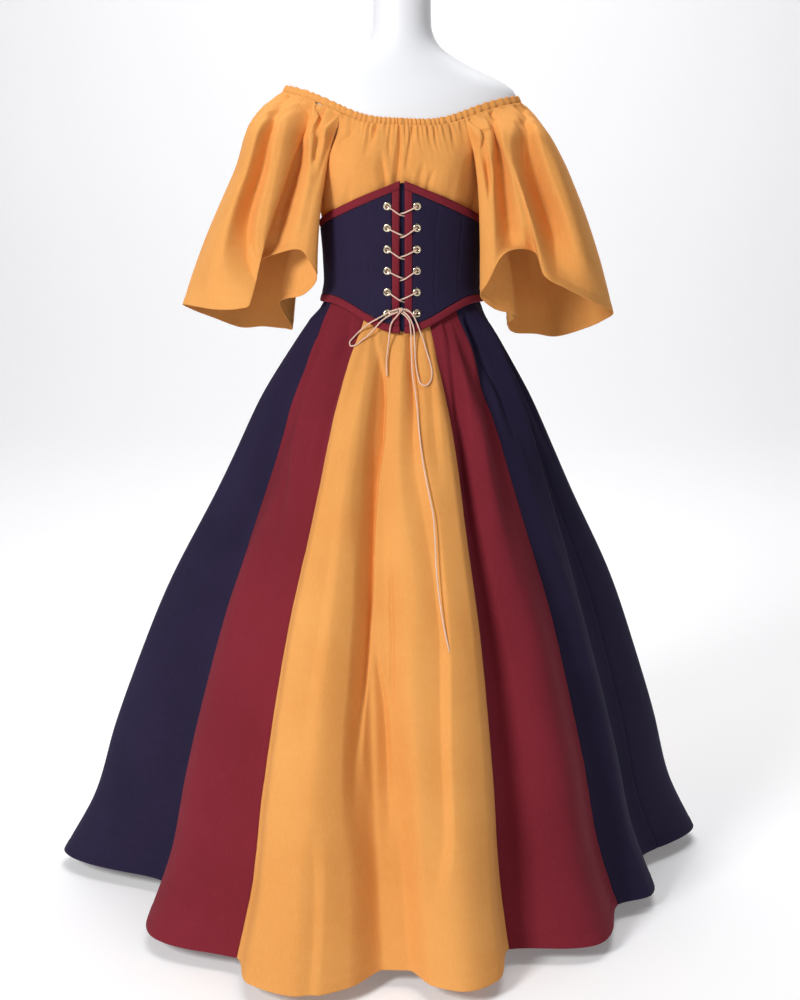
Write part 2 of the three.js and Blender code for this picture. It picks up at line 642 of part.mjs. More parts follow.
function skirtRadius(turn, z) {
  const release = corsetBottom(turn) + SKIRT.releaseBelow;
  const down = clamp((release - z) / (release - HEM_Z), 0, 1);
  const hug = bodyRadius(turn, Math.max(z, release)) + SKIRT.lift;
  const share = readTable(FLARE, 'down', 'share', down);
  const depth = mix(SKIRT.pressedDepth, SKIRT.freeDepth, ease(down, 0.02, 0.08))
    * (1 - ease(down, 0.08, SKIRT.gatherEnd));
  return mix(hug, foldRadius(turn, down), share) + depth * Math.cos(radians(turn * SKIRT.gathers));
}

function buildSkirt() {
  for (const gore of GORES) {
    const surface = (across, down) => {
      const travel = clamp(down, 0, 1) ** SKIRT.travel;
      const from = mix(gore.from, gore.hemFrom, travel);
      const to = mix(gore.to, gore.hemTo, travel);
      const z = mix(WAIST_Z - SEAM_GAP, HEM_Z, down);
      const trim = THREE.MathUtils.radToDeg(HALF_GAP / skirtRadius(from, z));
      const turn = mix(from + trim, to - trim, across);
      return around(turn, skirtRadius(turn, z), z);
    };
    addMesh(gore.name, wall(surface, spaced(gore.columns), SKIRT_ROWS, SKIRT_WALL), gore.colour);
  }
}

// The corset

function corsetTop(turn) {
  const share = Math.max(0, 1 - Math.abs(wrap(turn)) / CORSET.topReach);
  return CORSET.topSideZ + CORSET.topRise * share ** CORSET.topPower;
}

function corsetBottom(turn) {
  const share = Math.min(1, Math.abs(wrap(turn)) / CORSET.bottomReach);
  return CORSET.bottomSideZ - CORSET.bottomDrop * (1 + Math.cos(Math.PI * share)) / 2;
}

function corsetRadius(turn, z) {
  const front = Math.exp(-((wrap(turn) / CORSET.frontReach) ** 2));
  const flare = CORSET.bottomFlare * (1 - ease(z, corsetBottom(turn), corsetBottom(turn) + CORSET.flareHeight));
  return bodyRadius(turn, z) + mix(CORSET.lift, CORSET.frontLift, front) + flare;
}

// The turn at which the corset stands a given distance to the side of the middle
function turnAt(x, z) {
  let turn = 0;
  for (let i = 0; i < 6; i += 1) turn = THREE.MathUtils.radToDeg(Math.asin(x / corsetRadius(turn, z)));
  return turn;
}

// The turn of a column of the corset. Columns are counted from the middle gap, over the right front
// strip and panel, round the back and over the left front to the gap again
function corsetTurn(column, z) {
  const { frontGap, frontStrip, sideSeam, frontColumns, backColumns } = CORSET;
  const edge = turnAt(frontGap, z);
  const panel = turnAt(frontGap + frontStrip + SEAM_GAP, z);
  const stops = [edge, panel, sideSeam, 360 - sideSeam, 360 - panel, 360 - edge];
  const counts = [1, frontColumns, backColumns, frontColumns, 1];
  let rest = column;
  let i = 0;
  while (i < counts.length - 1 && rest > counts[i]) {
    rest -= counts[i];
    i += 1;
  }
  return mix(stops[i], stops[i + 1], rest / counts[i]);
}

function corsetBand(highZ, lowZ) {
  return (column, down) => {
    let turn = 0;
    let z = WAIST_Z;
    for (let i = 0; i < 4; i += 1) {
      turn = corsetTurn(column, z);
      z = mix(highZ(turn), lowZ(turn), down);
    }
    return around(turn, corsetRadius(turn, z), z);
  };
}

function buildCorset() {
  const { binding, frontStrip, frontColumns, backColumns } = CORSET;
  const panels = corsetBand((turn) => corsetTop(turn) - binding - SEAM_GAP,
    (turn) => corsetBottom(turn) + binding + SEAM_GAP);
  const rows = spaced(CORSET.rows);
  const rightSeam = 1 + frontColumns;
  const leftSeam = rightSeam + backColumns;
  const last = leftSeam + frontColumns + 1;
  const strip = frontStrip / (frontStrip + SEAM_GAP);
  const fronts = [
    { word: 'right', side: 1, panel: [1, rightSeam - CORSET.seamShare], strip: [0, strip] },
    { word: 'left', side: -1, panel: [leftSeam + CORSET.seamShare, last - 1], strip: [last - strip, last] },
  ];
  for (const front of fronts) {
    let panel = solidOf(wall(panels, spaced(frontColumns, ...front.panel), rows, CORSET_WALL));
    for (const place of eyeletPlaces(front.side)) {
      const drill = new THREE.CylinderGeometry(EYELETS.holeRadius, EYELETS.holeRadius, 20, EYELETS.sides);
      panel = panel.subtract(solidOf(standOn(drill, place, 0)));
    }
    addMesh(`corset_front_${front.word}`, geometryOfSolid(panel), 'navy');
    addMesh(`binding_front_${front.word}`, wall(panels, front.strip, rows, BINDING_WALL), 'burgundy');
  }
  const backColumnsAt = spaced(backColumns, rightSeam + CORSET.seamShare, leftSeam - CORSET.seamShare);
  const back = wall(panels, backColumnsAt, spaced(4), CORSET_WALL);
  addMesh('corset_back', back, 'navy');
  const columns = spaced(last, 0, last);
  const topBand = corsetBand(corsetTop, (turn) => corsetTop(turn) - binding);
  const lowBand = corsetBand((turn) => corsetBottom(turn) + binding, corsetBottom);
  addMesh('binding_top', wall(topBand, columns, [0, 1], BINDING_WALL), 'burgundy');
  addMesh('binding_bottom', wall(lowBand, columns, [0, 1], BINDING_WALL), 'burgundy');
}

// A place on the corset: a point of its middle surface and the direction straight out of it
function corsetPlace(x, z) {
  const surface = (turn, down) => around(turn, corsetRadius(turn, z - down), z - down);
  const turn = turnAt(x, z);
  const step = 0.5;
  const across = surface(turn + step, 0).sub(surface(turn - step, 0));
  const fall = surface(turn, step).sub(surface(turn, -step));
  return { point: surface(turn, 0), normal: fall.cross(across).normalize() };
}

function eyeletPlaces(side) {
  return spaced(EYELETS.rows - 1).map((share, row) =>
    corsetPlace(side * EYELETS.x, EYELETS.topZ - row * EYELETS.pitch));
}

// Turns a shape whose axis is +Y to stand on the corset
function standOn(geometry, place, height) {
  const turn = new THREE.Quaternion().setFromUnitVectors(new THREE.Vector3(0, 1, 0), place.normal);
  const spot = place.point.clone().addScaledVector(place.normal, height);
  return geometry.applyQuaternion(turn).translate(spot.x, spot.y, spot.z);
}

function buildEyelets() {
  const { flange, rim, barrel, bore, above, depth, sides } = EYELETS;
  const profile = [[bore, -depth], [barrel, -depth], [barrel, 0], [flange, 0], [bore + rim, rim * 1.4],
    [bore, -depth]];
  for (const side of [-1, 1]) {
    const word = side < 0 ? 'left' : 'right';
    eyeletPlaces(side).forEach((place, row) => {
      const ring = new THREE.LatheGeometry(profile.map(([x, y]) => new THREE.Vector2(x, y)), sides);
      addMesh(`eyelet_${word}_${row + 1}`, standOn(ring, place, CORSET_WALL / 2 + above), 'brass');
    });
  }
}

// The lace

// A smooth curve whose steps fall on the points it was given
class HandRoute extends THREE.CatmullRomCurve3 {
  getUtoTmapping(share) {
    return share;
  }
}

// A round cord with one step between each two of its points
function tube(points) {
  const route = new HandRoute(points, false, 'centripetal');
  const steps = points.length - 1;
  const corners = Array.from({ length: LACE.sides }, (unused, i) => {
    const angle = (2 * Math.PI * i) / LACE.sides;
    return new THREE.Vector2(LACE.radius * Math.cos(angle), LACE.radius * Math.sin(angle));
  });
  const options = { steps, extrudePath: route, bevelEnabled: false };
  return new THREE.ExtrudeGeometry(new THREE.Shape(corners), options);
}

// One half of the lace: out of an eyelet, down to the gap, under the other side and out again
function lacingPoints(firstSide, shift) {
  const at = (x, z, height) => {
    const place = corsetPlace(x, z);
    return place.point.addScaledVector(place.normal, height);
  };
  const { x, topZ, pitch, rows } = EYELETS;
  const { rim, lip, arrive, edgeX, gapX, knot } = LACE;
  const level = LACE_HEIGHT;
  const points = LACE.start.map((step) => at(firstSide * (x - step.inwards), topZ + step.up, level.under));
  let side = firstSide;
  for (let row = 0; row < rows; row += 1) {
    const z = topZ - row * pitch;
    points.push(at(side * x, z, level.inHole), at(side * x, z, level.outHole));
    points.push(at(side * (x - rim.inwards), z - rim.fall, level.crest));
    points.push(at(side * (x - lip.inwards), z - lip.fall, level.rest));
    if (row < rows - 1) {
      const cross = z - pitch * LACE.crossShare + shift;
      points.push(at(side * edgeX, mix(z, cross, LACE.edgeShare), level.over));
      points.push(at(side * gapX, cross, level.outHole));
      points.push(at(-side * gapX, cross - LACE.gapFall, -level.outHole));
      points.push(at(-side * LACE.underX, cross - LACE.underFall, level.under));
      points.push(at(-side * (x - arrive.inwards), z - pitch + arrive.up, level.tucked));
      side = -side;
    }
  }
  const lowZ = topZ - (rows - 1) * pitch;
  for (const share of LACE.toKnot) {
    points.push(at(mix(side * x, knot.x, share.x), mix(lowZ, knot.z, share.z), level.knot));
  }
  return points;
}

function buildLace() {
  addMesh('lace_left', tube(lacingPoints(-1, 0)), 'cord');
  addMesh('lace_right', tube(lacingPoints(1, LACE.crossing)), 'cord');
  const knot = new THREE.SphereGeometry(1, 10, 6);
  knot.scale(LACE.knot.halfX, LACE.knot.halfY, LACE.knot.halfZ);
  knot.translate(LACE.knot.x, LACE.knot.y, LACE.knot.z);
  addMesh('bow_knot', knot, 'cord');
  for (const cord of BOW) {
    const points = cord.route.map(([x, y, z]) => new THREE.Vector3(x, y, z));
    addMesh(cord.name, tube(points), 'cord');
  }
}

buildForm();
buildStand();
buildNeckline();
buildBodice();
buildSleeve(SLEEVE_LEFT);
buildSleeve(SLEEVE_RIGHT);
buildSkirt();
buildCorset();
buildEyelets();
buildLace();

export default part;
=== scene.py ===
"""An off-shoulder corset dress on a limbless dress form, dressed for rendering.

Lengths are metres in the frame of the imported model: +Z up, the front looks along -Y, and left and
right are those of someone who looks at the front. Turns are degrees round the form, from the middle
of the front towards +X.
"""

import logging
import math
from bisect import bisect_right
from dataclasses import dataclass, field
from enum import Enum
from typing import Callable, Sequence

import bmesh
import bpy
from mathutils import Matrix, Vector, noise

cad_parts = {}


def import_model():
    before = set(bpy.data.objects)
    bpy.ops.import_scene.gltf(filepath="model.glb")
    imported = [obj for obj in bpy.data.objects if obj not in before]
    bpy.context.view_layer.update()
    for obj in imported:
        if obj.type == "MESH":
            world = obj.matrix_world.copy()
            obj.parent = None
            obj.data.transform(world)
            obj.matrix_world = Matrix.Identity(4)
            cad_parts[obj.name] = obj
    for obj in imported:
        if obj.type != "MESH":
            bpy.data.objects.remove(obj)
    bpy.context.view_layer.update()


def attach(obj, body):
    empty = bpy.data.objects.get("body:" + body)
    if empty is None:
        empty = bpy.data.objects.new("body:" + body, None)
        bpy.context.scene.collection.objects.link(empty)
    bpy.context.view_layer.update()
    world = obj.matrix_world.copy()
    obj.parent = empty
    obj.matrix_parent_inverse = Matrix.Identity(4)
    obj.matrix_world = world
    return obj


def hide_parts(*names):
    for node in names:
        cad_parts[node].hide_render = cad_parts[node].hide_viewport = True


LOG = logging.getLogger("dress")
BODY = "root"

Pair = tuple[float, float]
Triple = tuple[float, float, float]
Line = Sequence[tuple[Vector, Vector]]
Height = Callable[[float], float]
Surface = Callable[[float, float], Vector]
Socket = bpy.types.NodeSocket

WAIST_Z = 1.012
HEM_Z = 0.025
NECK_TOP_Z = 1.492
FORM_FOOT_Z = 0.775
SEAM_GAP = 0.0003


def clamp(value: float, low: float = 0.0, high: float = 1.0) -> float:
    """Returns the value kept between low and high."""
    return max(low, min(high, value))


def mix(start: float, end: float, share: float) -> float:
    """Returns the value that lies a share of the way from start to end."""
    return start + (end - start) * share


def ease(value: float, low: float, high: float) -> float:
    """Returns 0 before low, 1 after high and a smooth rise between them."""
    share = clamp((value - low) / (high - low))
    return share * share * (3 - 2 * share)


def wrap(turn: float) -> float:
    """Returns the turn as an angle from -180 to 180 degrees."""
    return (turn + 180.0) % 360.0 - 180.0


def swell(away: float, reach: float, power: float = 2.0) -> float:
    """Returns 1 at no distance, which falls off smoothly with the distance as a share of the reach."""
    return math.exp(-(abs(away / reach) ** power))


def facing(spot: Vector) -> float:
    """Returns the turn at which a point stands."""
    return math.degrees(math.atan2(spot.x, -spot.y))


def wave(turn: float) -> float:
    """Returns a wave from -1 to 1 that repeats every 360 degrees."""
    return math.cos(math.radians(turn))


def around(turn: float, radius: float, z: float) -> Vector:
    """Returns the point at a turn, a distance from the axis and a height."""
    angle = math.radians(turn)
    return Vector((radius * math.sin(angle), -radius * math.cos(angle), z))


def spaced(count: int, low: float = 0.0, high: float = 1.0) -> list[float]:
    """Returns count + 1 evenly spaced values from low to high."""
    return [mix(low, high, i / count) for i in range(count + 1)]


def flutter(along: float, across: float, seed: float) -> float:
    """Returns smooth noise from -1 to 1 that repeats the same in every run."""
    return noise.noise(Vector((along, across, seed)))


@dataclass(frozen=True)
class Ripple:
    """Fine unevenness of cloth: its depth, how closely it repeats across and down, and its seed."""

    depth: float
    across: float
    down: float
    seed: float

    def at(self, across: float, down: float, shift: float = 0.0) -> float:
        """Returns how far it moves the cloth at a place, where a shift gives another pattern."""
        return self.depth * flutter(across * self.across, down * self.down, self.seed + shift)


def gentle(before: float, after: float) -> float:
    """Returns a curve's slope where two slopes meet, which is level at a crest or a valley."""
    return 0.0 if before * after <= 0 else 2 * before * after / (before + after)


class SmoothCurve:
    """A smooth curve through points that never swings past its neighbours.

    Args:
        points: Pairs of a place and the value there, in order of place.
    """

    def __init__(self, points: Sequence[Pair]) -> None:
        self.places = [place for place, _ in points]
        self.values = [value for _, value in points]
        slopes = [
            (self.values[i + 1] - self.values[i]) / (self.places[i + 1] - self.places[i])
            for i in range(len(points) - 1)
        ]
        inner = [gentle(before, after) for before, after in zip(slopes, slopes[1:])]
        self.tangents = [slopes[0], *inner, slopes[-1]]

    def at(self, place: float) -> float:
        """Returns the curve's value at a place, and its end values beyond its ends."""
        if place <= self.places[0]:
            return self.values[0]
        if place >= self.places[-1]:
            return self.values[-1]
        i = bisect_right(self.places, place) - 1
        width = self.places[i + 1] - self.places[i]
        share = (place - self.places[i]) / width
        leave = self.tangents[i] * width
        arrive = self.tangents[i + 1] * width
        return hermite(self.values[i], self.values[i + 1], leave, arrive, share)


def hermite(start: float, end: float, leave: float, arrive: float, share: float) -> float:
    """Returns a cubic from start to end with the given slopes at its ends."""
    square = share * share
    cube = square * share
    return (
        (2 * cube - 3 * square + 1) * start
        + (cube - 2 * square + share) * leave
        + (3 * square - 2 * cube) * end
        + (cube - square) * arrive
    )


class RingCurve:
    """A smooth closed curve through points on a circle of 360 places.

    Args:
        points: Pairs of a place from 0 to 360 and the value there, in order of place.
    """

    def __init__(self, points: Sequence[Pair]) -> None:
        places = [place for place, _ in points]
        values = [value for _, value in points]
        before = [place - 360 for place in places[-2:]]
        after = [place + 360 for place in places[:2]]
        self.places = before + places + after
        self.values = values[-2:] + values + values[:2]

    def at(self, place: float) -> float:
        """Returns the curve's value at a place, which may be any angle."""
        turn = place % 360.0
        i = bisect_right(self.places, turn) - 1
        i = max(1, min(i, len(self.places) - 3))
        width = self.places[i + 1] - self.places[i]
        leave = self._slope(i) * width
        arrive = self._slope(i + 1) * width
        share = (turn - self.places[i]) / width
        return hermite(self.values[i], self.values[i + 1], leave, arrive, share)

    def _slope(self, i: int) -> float:
        """Returns the slope at one point, from its two neighbours."""
        return (self.values[i + 1] - self.values[i - 1]) / (self.places[i + 1] - self.places[i - 1])


class Slot(Enum):
    """The record's material slots."""

    MUSTARD = "mustard_cloth"
    BURGUNDY = "burgundy_cloth"
    NAVY = "navy_cloth"
    FORM = "form"
    STAND = "stand"
    EYELET = "eyelet_metal"
    CORD = "lace_cord"


class NodeSheet:
    """A material's node tree, with short calls for the nodes that the finishes share.

    Args:
        name: The material's name.
    """

    def __init__(self, name: str) -> None:
        self.material = bpy.data.materials.new(name)
        self.material.use_nodes = True
        self.tree = self.material.node_tree
        self.shader = self.tree.nodes["Principled BSDF"]

    def node(self, kind: str, **settings: object) -> bpy.types.Node:
        """Adds a node of a kind and sets its attributes.

        Args:
            kind: The node's Blender type.
            settings: Attribute values of the node.

        Returns:
            The new node.
        """
        made = self.tree.nodes.new(kind)
        for key, value in settings.items():
            setattr(made, key, value)
        return made

    def join(self, output: Socket, target: Socket) -> None:
        """Links an output to an input."""
        self.tree.links.new(output, target)

    def math(self, operation: str, first: object, second: object = None) -> Socket:
        """Adds a math node.

        Args:
            operation: The name of the operation.
            first: A socket or a number.
            second: A socket or a number, where the operation takes two.

        Returns:
            The node's output.
        """
        made = self.node("ShaderNodeMath", operation=operation)
        for place, value in enumerate((first, second)):
            if isinstance(value, Socket):
                self.join(value, made.inputs[place])
            elif value is not None:
                made.inputs[place].default_value = value
        return made.outputs[0]

    def blend(self, share: object, first: object, second: object) -> Socket:
        """Adds a colour mix.

        Args:
            share: A socket or a number from 0 to 1.
            first: A socket or a colour.
            second: A socket or a colour.

        Returns:
            The mixed colour's output.
        """
        made = self.node("ShaderNodeMix", data_type="RGBA")
        for name, value in ((0, share), (6, first), (7, second)):
            if isinstance(value, Socket):
                self.join(value, made.inputs[name])
            elif name == 0:
                made.inputs[name].default_value = value
            else:
                made.inputs[name].default_value = (*value, 1.0)
        return made.outputs[2]

    def noise(self, vector: Socket, scale: float, detail: float) -> Socket:
        """Adds a noise texture and returns its value output."""
        made = self.node("ShaderNodeTexNoise")
        made.inputs["Scale"].default_value = scale
        made.inputs["Detail"].default_value = detail
        self.join(vector, made.inputs["Vector"])
        return made.outputs[0]

    def bump(self, height: Socket, strength: float, distance: float, under: Socket | None = None) -> Socket:
        """Adds a bump node, on top of another where one is given, and returns its normal."""
        made = self.node("ShaderNodeBump")
        made.inputs["Strength"].default_value = strength
        made.inputs["Distance"].default_value = distance
        self.join(height, made.inputs["Height"])
        if under is not None:
            self.join(under, made.inputs["Normal"])
        return made.outputs[0]

    def spread(self, value: Socket, low: float, high: float) -> Socket:
        """Adds a node that maps 0 to low and 1 to high, and returns its output."""
        made = self.node("ShaderNodeMapRange")
        made.inputs["To Min"].default_value = low
        made.inputs["To Max"].default_value = high
        self.join(value, made.inputs["Value"])
        return made.outputs[0]

    def stretched(self, vector: Socket, scale: Triple) -> Socket:
        """Adds a mapping node that scales a place, and returns its output."""
        made = self.node("ShaderNodeMapping")
        made.inputs["Scale"].default_value = scale
        self.join(vector, made.inputs[0])
        return made.outputs[0]

    def feed(self, name: str, output: Socket) -> None:
        """Links an output to one of the shader's inputs."""
        self.join(output, self.shader.inputs[name])

    def settle(self, values: dict[str, object]) -> None:
        """Sets constants on the shader's own sockets, by their names."""
        for name, value in values.items():
            self.shader.inputs[name].default_value = value

    def place(self) -> Socket:
        """Returns the place on the piece, in Object coordinates."""
        return self.node("ShaderNodeTexCoord").outputs["Object"]


@dataclass(frozen=True)
class ClothFinish:
    """Matte cotton twill, with diagonal ribs that follow the cloth's own UV map in metres."""

    name: str
    lit: Triple
    deep: Triple
    slub: Triple
    rib: float = 0.0011
    sheen: float = 0.25
    sheen_tint: Triple = (1.0, 1.0, 1.0)
    roughness: float = 0.86
    uneven: float = 0.06
    weft_share: float = 0.8
    slub_scale: Triple = (900.0, 60.0, 1.0)

    def build(self) -> bpy.types.Material:
        """Makes the material.

        Returns:
            The cloth's material.
        """
        sheet = NodeSheet(self.name)
        uv = sheet.node("ShaderNodeUVMap", uv_map="cloth").outputs[0]
        place = sheet.place()
        weave = self._weave(sheet, uv)
        broad = sheet.noise(place, 7.0, 3.0)
        grain = sheet.noise(place, 420.0, 2.0)
        slubs = sheet.noise(sheet.stretched(uv, self.slub_scale), 1.0, 3.0)
        shade = sheet.node("ShaderNodeMapRange")
        shade.inputs["From Min"].default_value = 0.35
        shade.inputs["From Max"].default_value = 0.65
        sheet.join(broad, shade.inputs["Value"])
        colour = sheet.blend(shade.outputs[0], self.deep, self.lit)
        thread = sheet.math("MULTIPLY", sheet.math("ADD", weave, 1.0), 0.10)
        colour = sheet.blend(thread, colour, self.deep)
        for source, floor, gain in ((slubs, 0.52, 1.4), (grain, 0.5, 0.55)):
            fleck = sheet.math("MULTIPLY", sheet.math("SUBTRACT", source, floor), gain)
            colour = sheet.blend(sheet.math("MAXIMUM", fleck, 0.0), colour, self.slub)
        sheet.feed("Base Color", colour)
        height = sheet.math("ADD", sheet.math("MULTIPLY", weave, 0.5), slubs)
        sheet.feed("Normal", sheet.bump(grain, 0.25, 0.0005, sheet.bump(height, 0.35, 0.00035)))
        low, high = self.roughness - self.uneven, self.roughness + self.uneven
        sheet.feed("Roughness", sheet.spread(grain, low, high))
        sheet.settle({"Sheen Weight": self.sheen, "Sheen Roughness": 0.45,
                      "Sheen Tint": (*self.sheen_tint, 1.0), "Specular IOR Level": 0.16})
        return sheet.material

    def _weave(self, sheet: NodeSheet, uv: Socket) -> Socket:
        """Returns the twill's height: slanted ribs over an upright weft."""
        parts = sheet.node("ShaderNodeSeparateXYZ")
        sheet.join(uv, parts.inputs[0])
        slanted = sheet.math("ADD", parts.outputs[0], parts.outputs[1])
        ribs = sheet.math("SINE", sheet.math("MULTIPLY", slanted, 2 * math.pi / self.rib))
        weft_turns = 2 * math.pi / (self.rib * self.weft_share)
        weft = sheet.math("SINE", sheet.math("MULTIPLY", parts.outputs[0], weft_turns))
        return sheet.math("ADD", sheet.math("MULTIPLY", ribs, 0.7), sheet.math("MULTIPLY", weft, 0.3))


@dataclass(frozen=True)
class PlasticFinish:
    """The form's smooth white skin, with a faint orange peel and handling marks."""

    name: str = "white_form_skin"
    colour: Triple = (0.86, 0.865, 0.89)

    def build(self) -> bpy.types.Material:
        """Makes the material and returns it."""
        sheet = NodeSheet(self.name)
        place = sheet.place()
        cloud = sheet.noise(place, 9.0, 3.0)
        peel = sheet.noise(place, 260.0, 2.0)
        sheet.feed("Base Color", sheet.blend(cloud, self.colour, tuple(c * 0.97 for c in self.colour)))
        sheet.feed("Roughness", sheet.spread(cloud, 0.42, 0.56))
        sheet.feed("Normal", sheet.bump(peel, 0.08, 0.0006))
        return sheet.material


@dataclass(frozen=True)
class MetalFinish:
    """Brushed or rolled metal."""

    name: str
    colour: Triple
    roughness: float
    scratches: Triple = (40.0, 40.0, 900.0)

    def build(self) -> bpy.types.Material:
        """Makes the material and returns it."""
        sheet = NodeSheet(self.name)
        place = sheet.place()
        lines = sheet.noise(sheet.stretched(place, self.scratches), 1.0, 3.0)
        cloud = sheet.noise(place, 60.0, 2.0)
        sheet.feed("Base Color", sheet.blend(cloud, self.colour, tuple(c * 0.86 for c in self.colour)))
        sheet.feed("Roughness", sheet.spread(lines, self.roughness - 0.08, self.roughness + 0.1))
        sheet.feed("Normal", sheet.bump(lines, 0.12, 0.0002))
        sheet.settle({"Metallic": 1.0})
        return sheet.material


@dataclass(frozen=True)
class CordFinish:
    """A thin waxed cord, with its twist as fine slanted bands."""

    name: str = "pale_lace_cord"
    light: Triple = (0.84, 0.60, 0.47)
    dark: Triple = (0.50, 0.29, 0.22)

    def build(self) -> bpy.types.Material:
        """Makes the material and returns it."""
        sheet = NodeSheet(self.name)
        place = sheet.place()
        bands = sheet.node("ShaderNodeTexWave", bands_direction="DIAGONAL")
        bands.inputs["Scale"].default_value = 330.0
        bands.inputs["Distortion"].default_value = 0.6
        sheet.join(place, bands.inputs["Vector"])
        fuzz = sheet.noise(place, 1500.0, 1.0)
        twist = bands.outputs["Fac"]
        sheet.feed("Base Color", sheet.blend(sheet.math("MULTIPLY", twist, 0.3), self.light, self.dark))
        sheet.feed("Normal", sheet.bump(twist, 0.5, 0.0003, sheet.bump(fuzz, 0.3, 0.0002)))
        sheet.settle({"Roughness": 0.7, "Sheen Weight": 0.2})
        return sheet.material


@dataclass(frozen=True)
class StudioFinish:
    """The plain pale sweep behind and under the dress."""

    name: str = "pale_sweep"
    colour: Triple = (0.91, 0.91, 0.92)
    glow: float = 0.19

    def build(self) -> bpy.types.Material:
        """Makes the material and returns it."""
        sheet = NodeSheet(self.name)
        colour = (*self.colour, 1.0)
        sheet.settle({"Base Color": colour, "Roughness": 0.95, "Specular IOR Level": 0.1,
                      "Emission Color": colour, "Emission Strength": self.glow})
        return sheet.material


class Finishes:
    """All finishes of the dress, its form and its stand, one for each slot."""

    def __init__(self) -> None:
        self.by_slot = {
            Slot.MUSTARD: ClothFinish(
                "mustard_twill", (0.83, 0.375, 0.100), (0.77, 0.325, 0.080), (0.92, 0.52, 0.20),
                sheen=0.05, sheen_tint=(1.0, 0.8, 0.5)).build(),
            Slot.BURGUNDY: ClothFinish(
                "burgundy_twill", (0.205, 0.0165, 0.0290), (0.180, 0.0140, 0.0245), (0.30, 0.040, 0.060),
                sheen=0.03, sheen_tint=(1.0, 0.4, 0.5)).build(),
            Slot.NAVY: ClothFinish(
                "navy_twill", (0.0200, 0.0135, 0.0430), (0.0160, 0.0110, 0.0350), (0.036, 0.028, 0.070),
                sheen=0.02, sheen_tint=(0.6, 0.5, 1.0)).build(),
            Slot.FORM: PlasticFinish().build(),
            Slot.STAND: MetalFinish("brushed_stand_steel", (0.55, 0.56, 0.57), 0.32).build(),
            Slot.EYELET: MetalFinish(
                "pale_eyelet_brass", (0.83, 0.74, 0.53), 0.22, (500.0, 500.0, 500.0)).build(),
            Slot.CORD: CordFinish().build(),
        }
        self.thread = {
            Slot.MUSTARD: CordFinish("mustard_thread", (0.86, 0.46, 0.14), (0.55, 0.25, 0.06)).build(),
            Slot.BURGUNDY: CordFinish("burgundy_thread", (0.30, 0.05, 0.07), (0.12, 0.01, 0.02)).build(),
        }

    def dress(self, piece: bpy.types.Object, slot: Slot, node: str) -> None:
        """Gives a piece the finish of its slot, in place of the CAD node that it stands for."""
        self._wear(piece, slot, self.by_slot[slot])
        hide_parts(node)

    def sew(self, panel: "Panel", slot: Slot, node: str) -> None:
        """Makes a panel of cloth and dresses it.

        Args:
            panel: The panel.
            slot: The record's material slot.
            node: The CAD node that it replaces.
        """
        piece = panel.build()
        self.dress(piece, slot, node)
        if panel.cut.area is not None:
            panel.cut.area

    def stitch(self, row: "Stitching", slot: Slot, line: Line) -> None:
        """Makes a row of stitches along a line, in the thread of a slot."""
        self._wear(row.build(line), slot, self.thread[slot])

    @staticmethod
    def _wear(piece: bpy.types.Object, slot: Slot, material: bpy.types.Material) -> None:
        """Gives a piece its material and its body."""
        piece.data.materials.clear()
        piece.data.materials.append(material)
        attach(piece, BODY)
        LOG.info("made %s", piece.name)


def object_of(name: str, mesh: bmesh.types.BMesh) -> bpy.types.Object:
    """Turns a bmesh into a smooth-shaded object of the scene.

    Args:
        name: The object's name.
        mesh: The bmesh, which is freed.

    Returns:
        The new object.
    """
    data = bpy.data.meshes.new(name)
    mesh.to_mesh(data)
    mesh.free()
    data.polygons.foreach_set("use_smooth", [True] * len(data.polygons))
    made = bpy.data.objects.new(name, data)
    bpy.context.scene.collection.objects.link(made)
    return made


@dataclass(frozen=True)
class Cut:
    """The flat cut of a piece of cloth: its width, its length and its area."""

    width: float
    length: float
    area: float | None = None


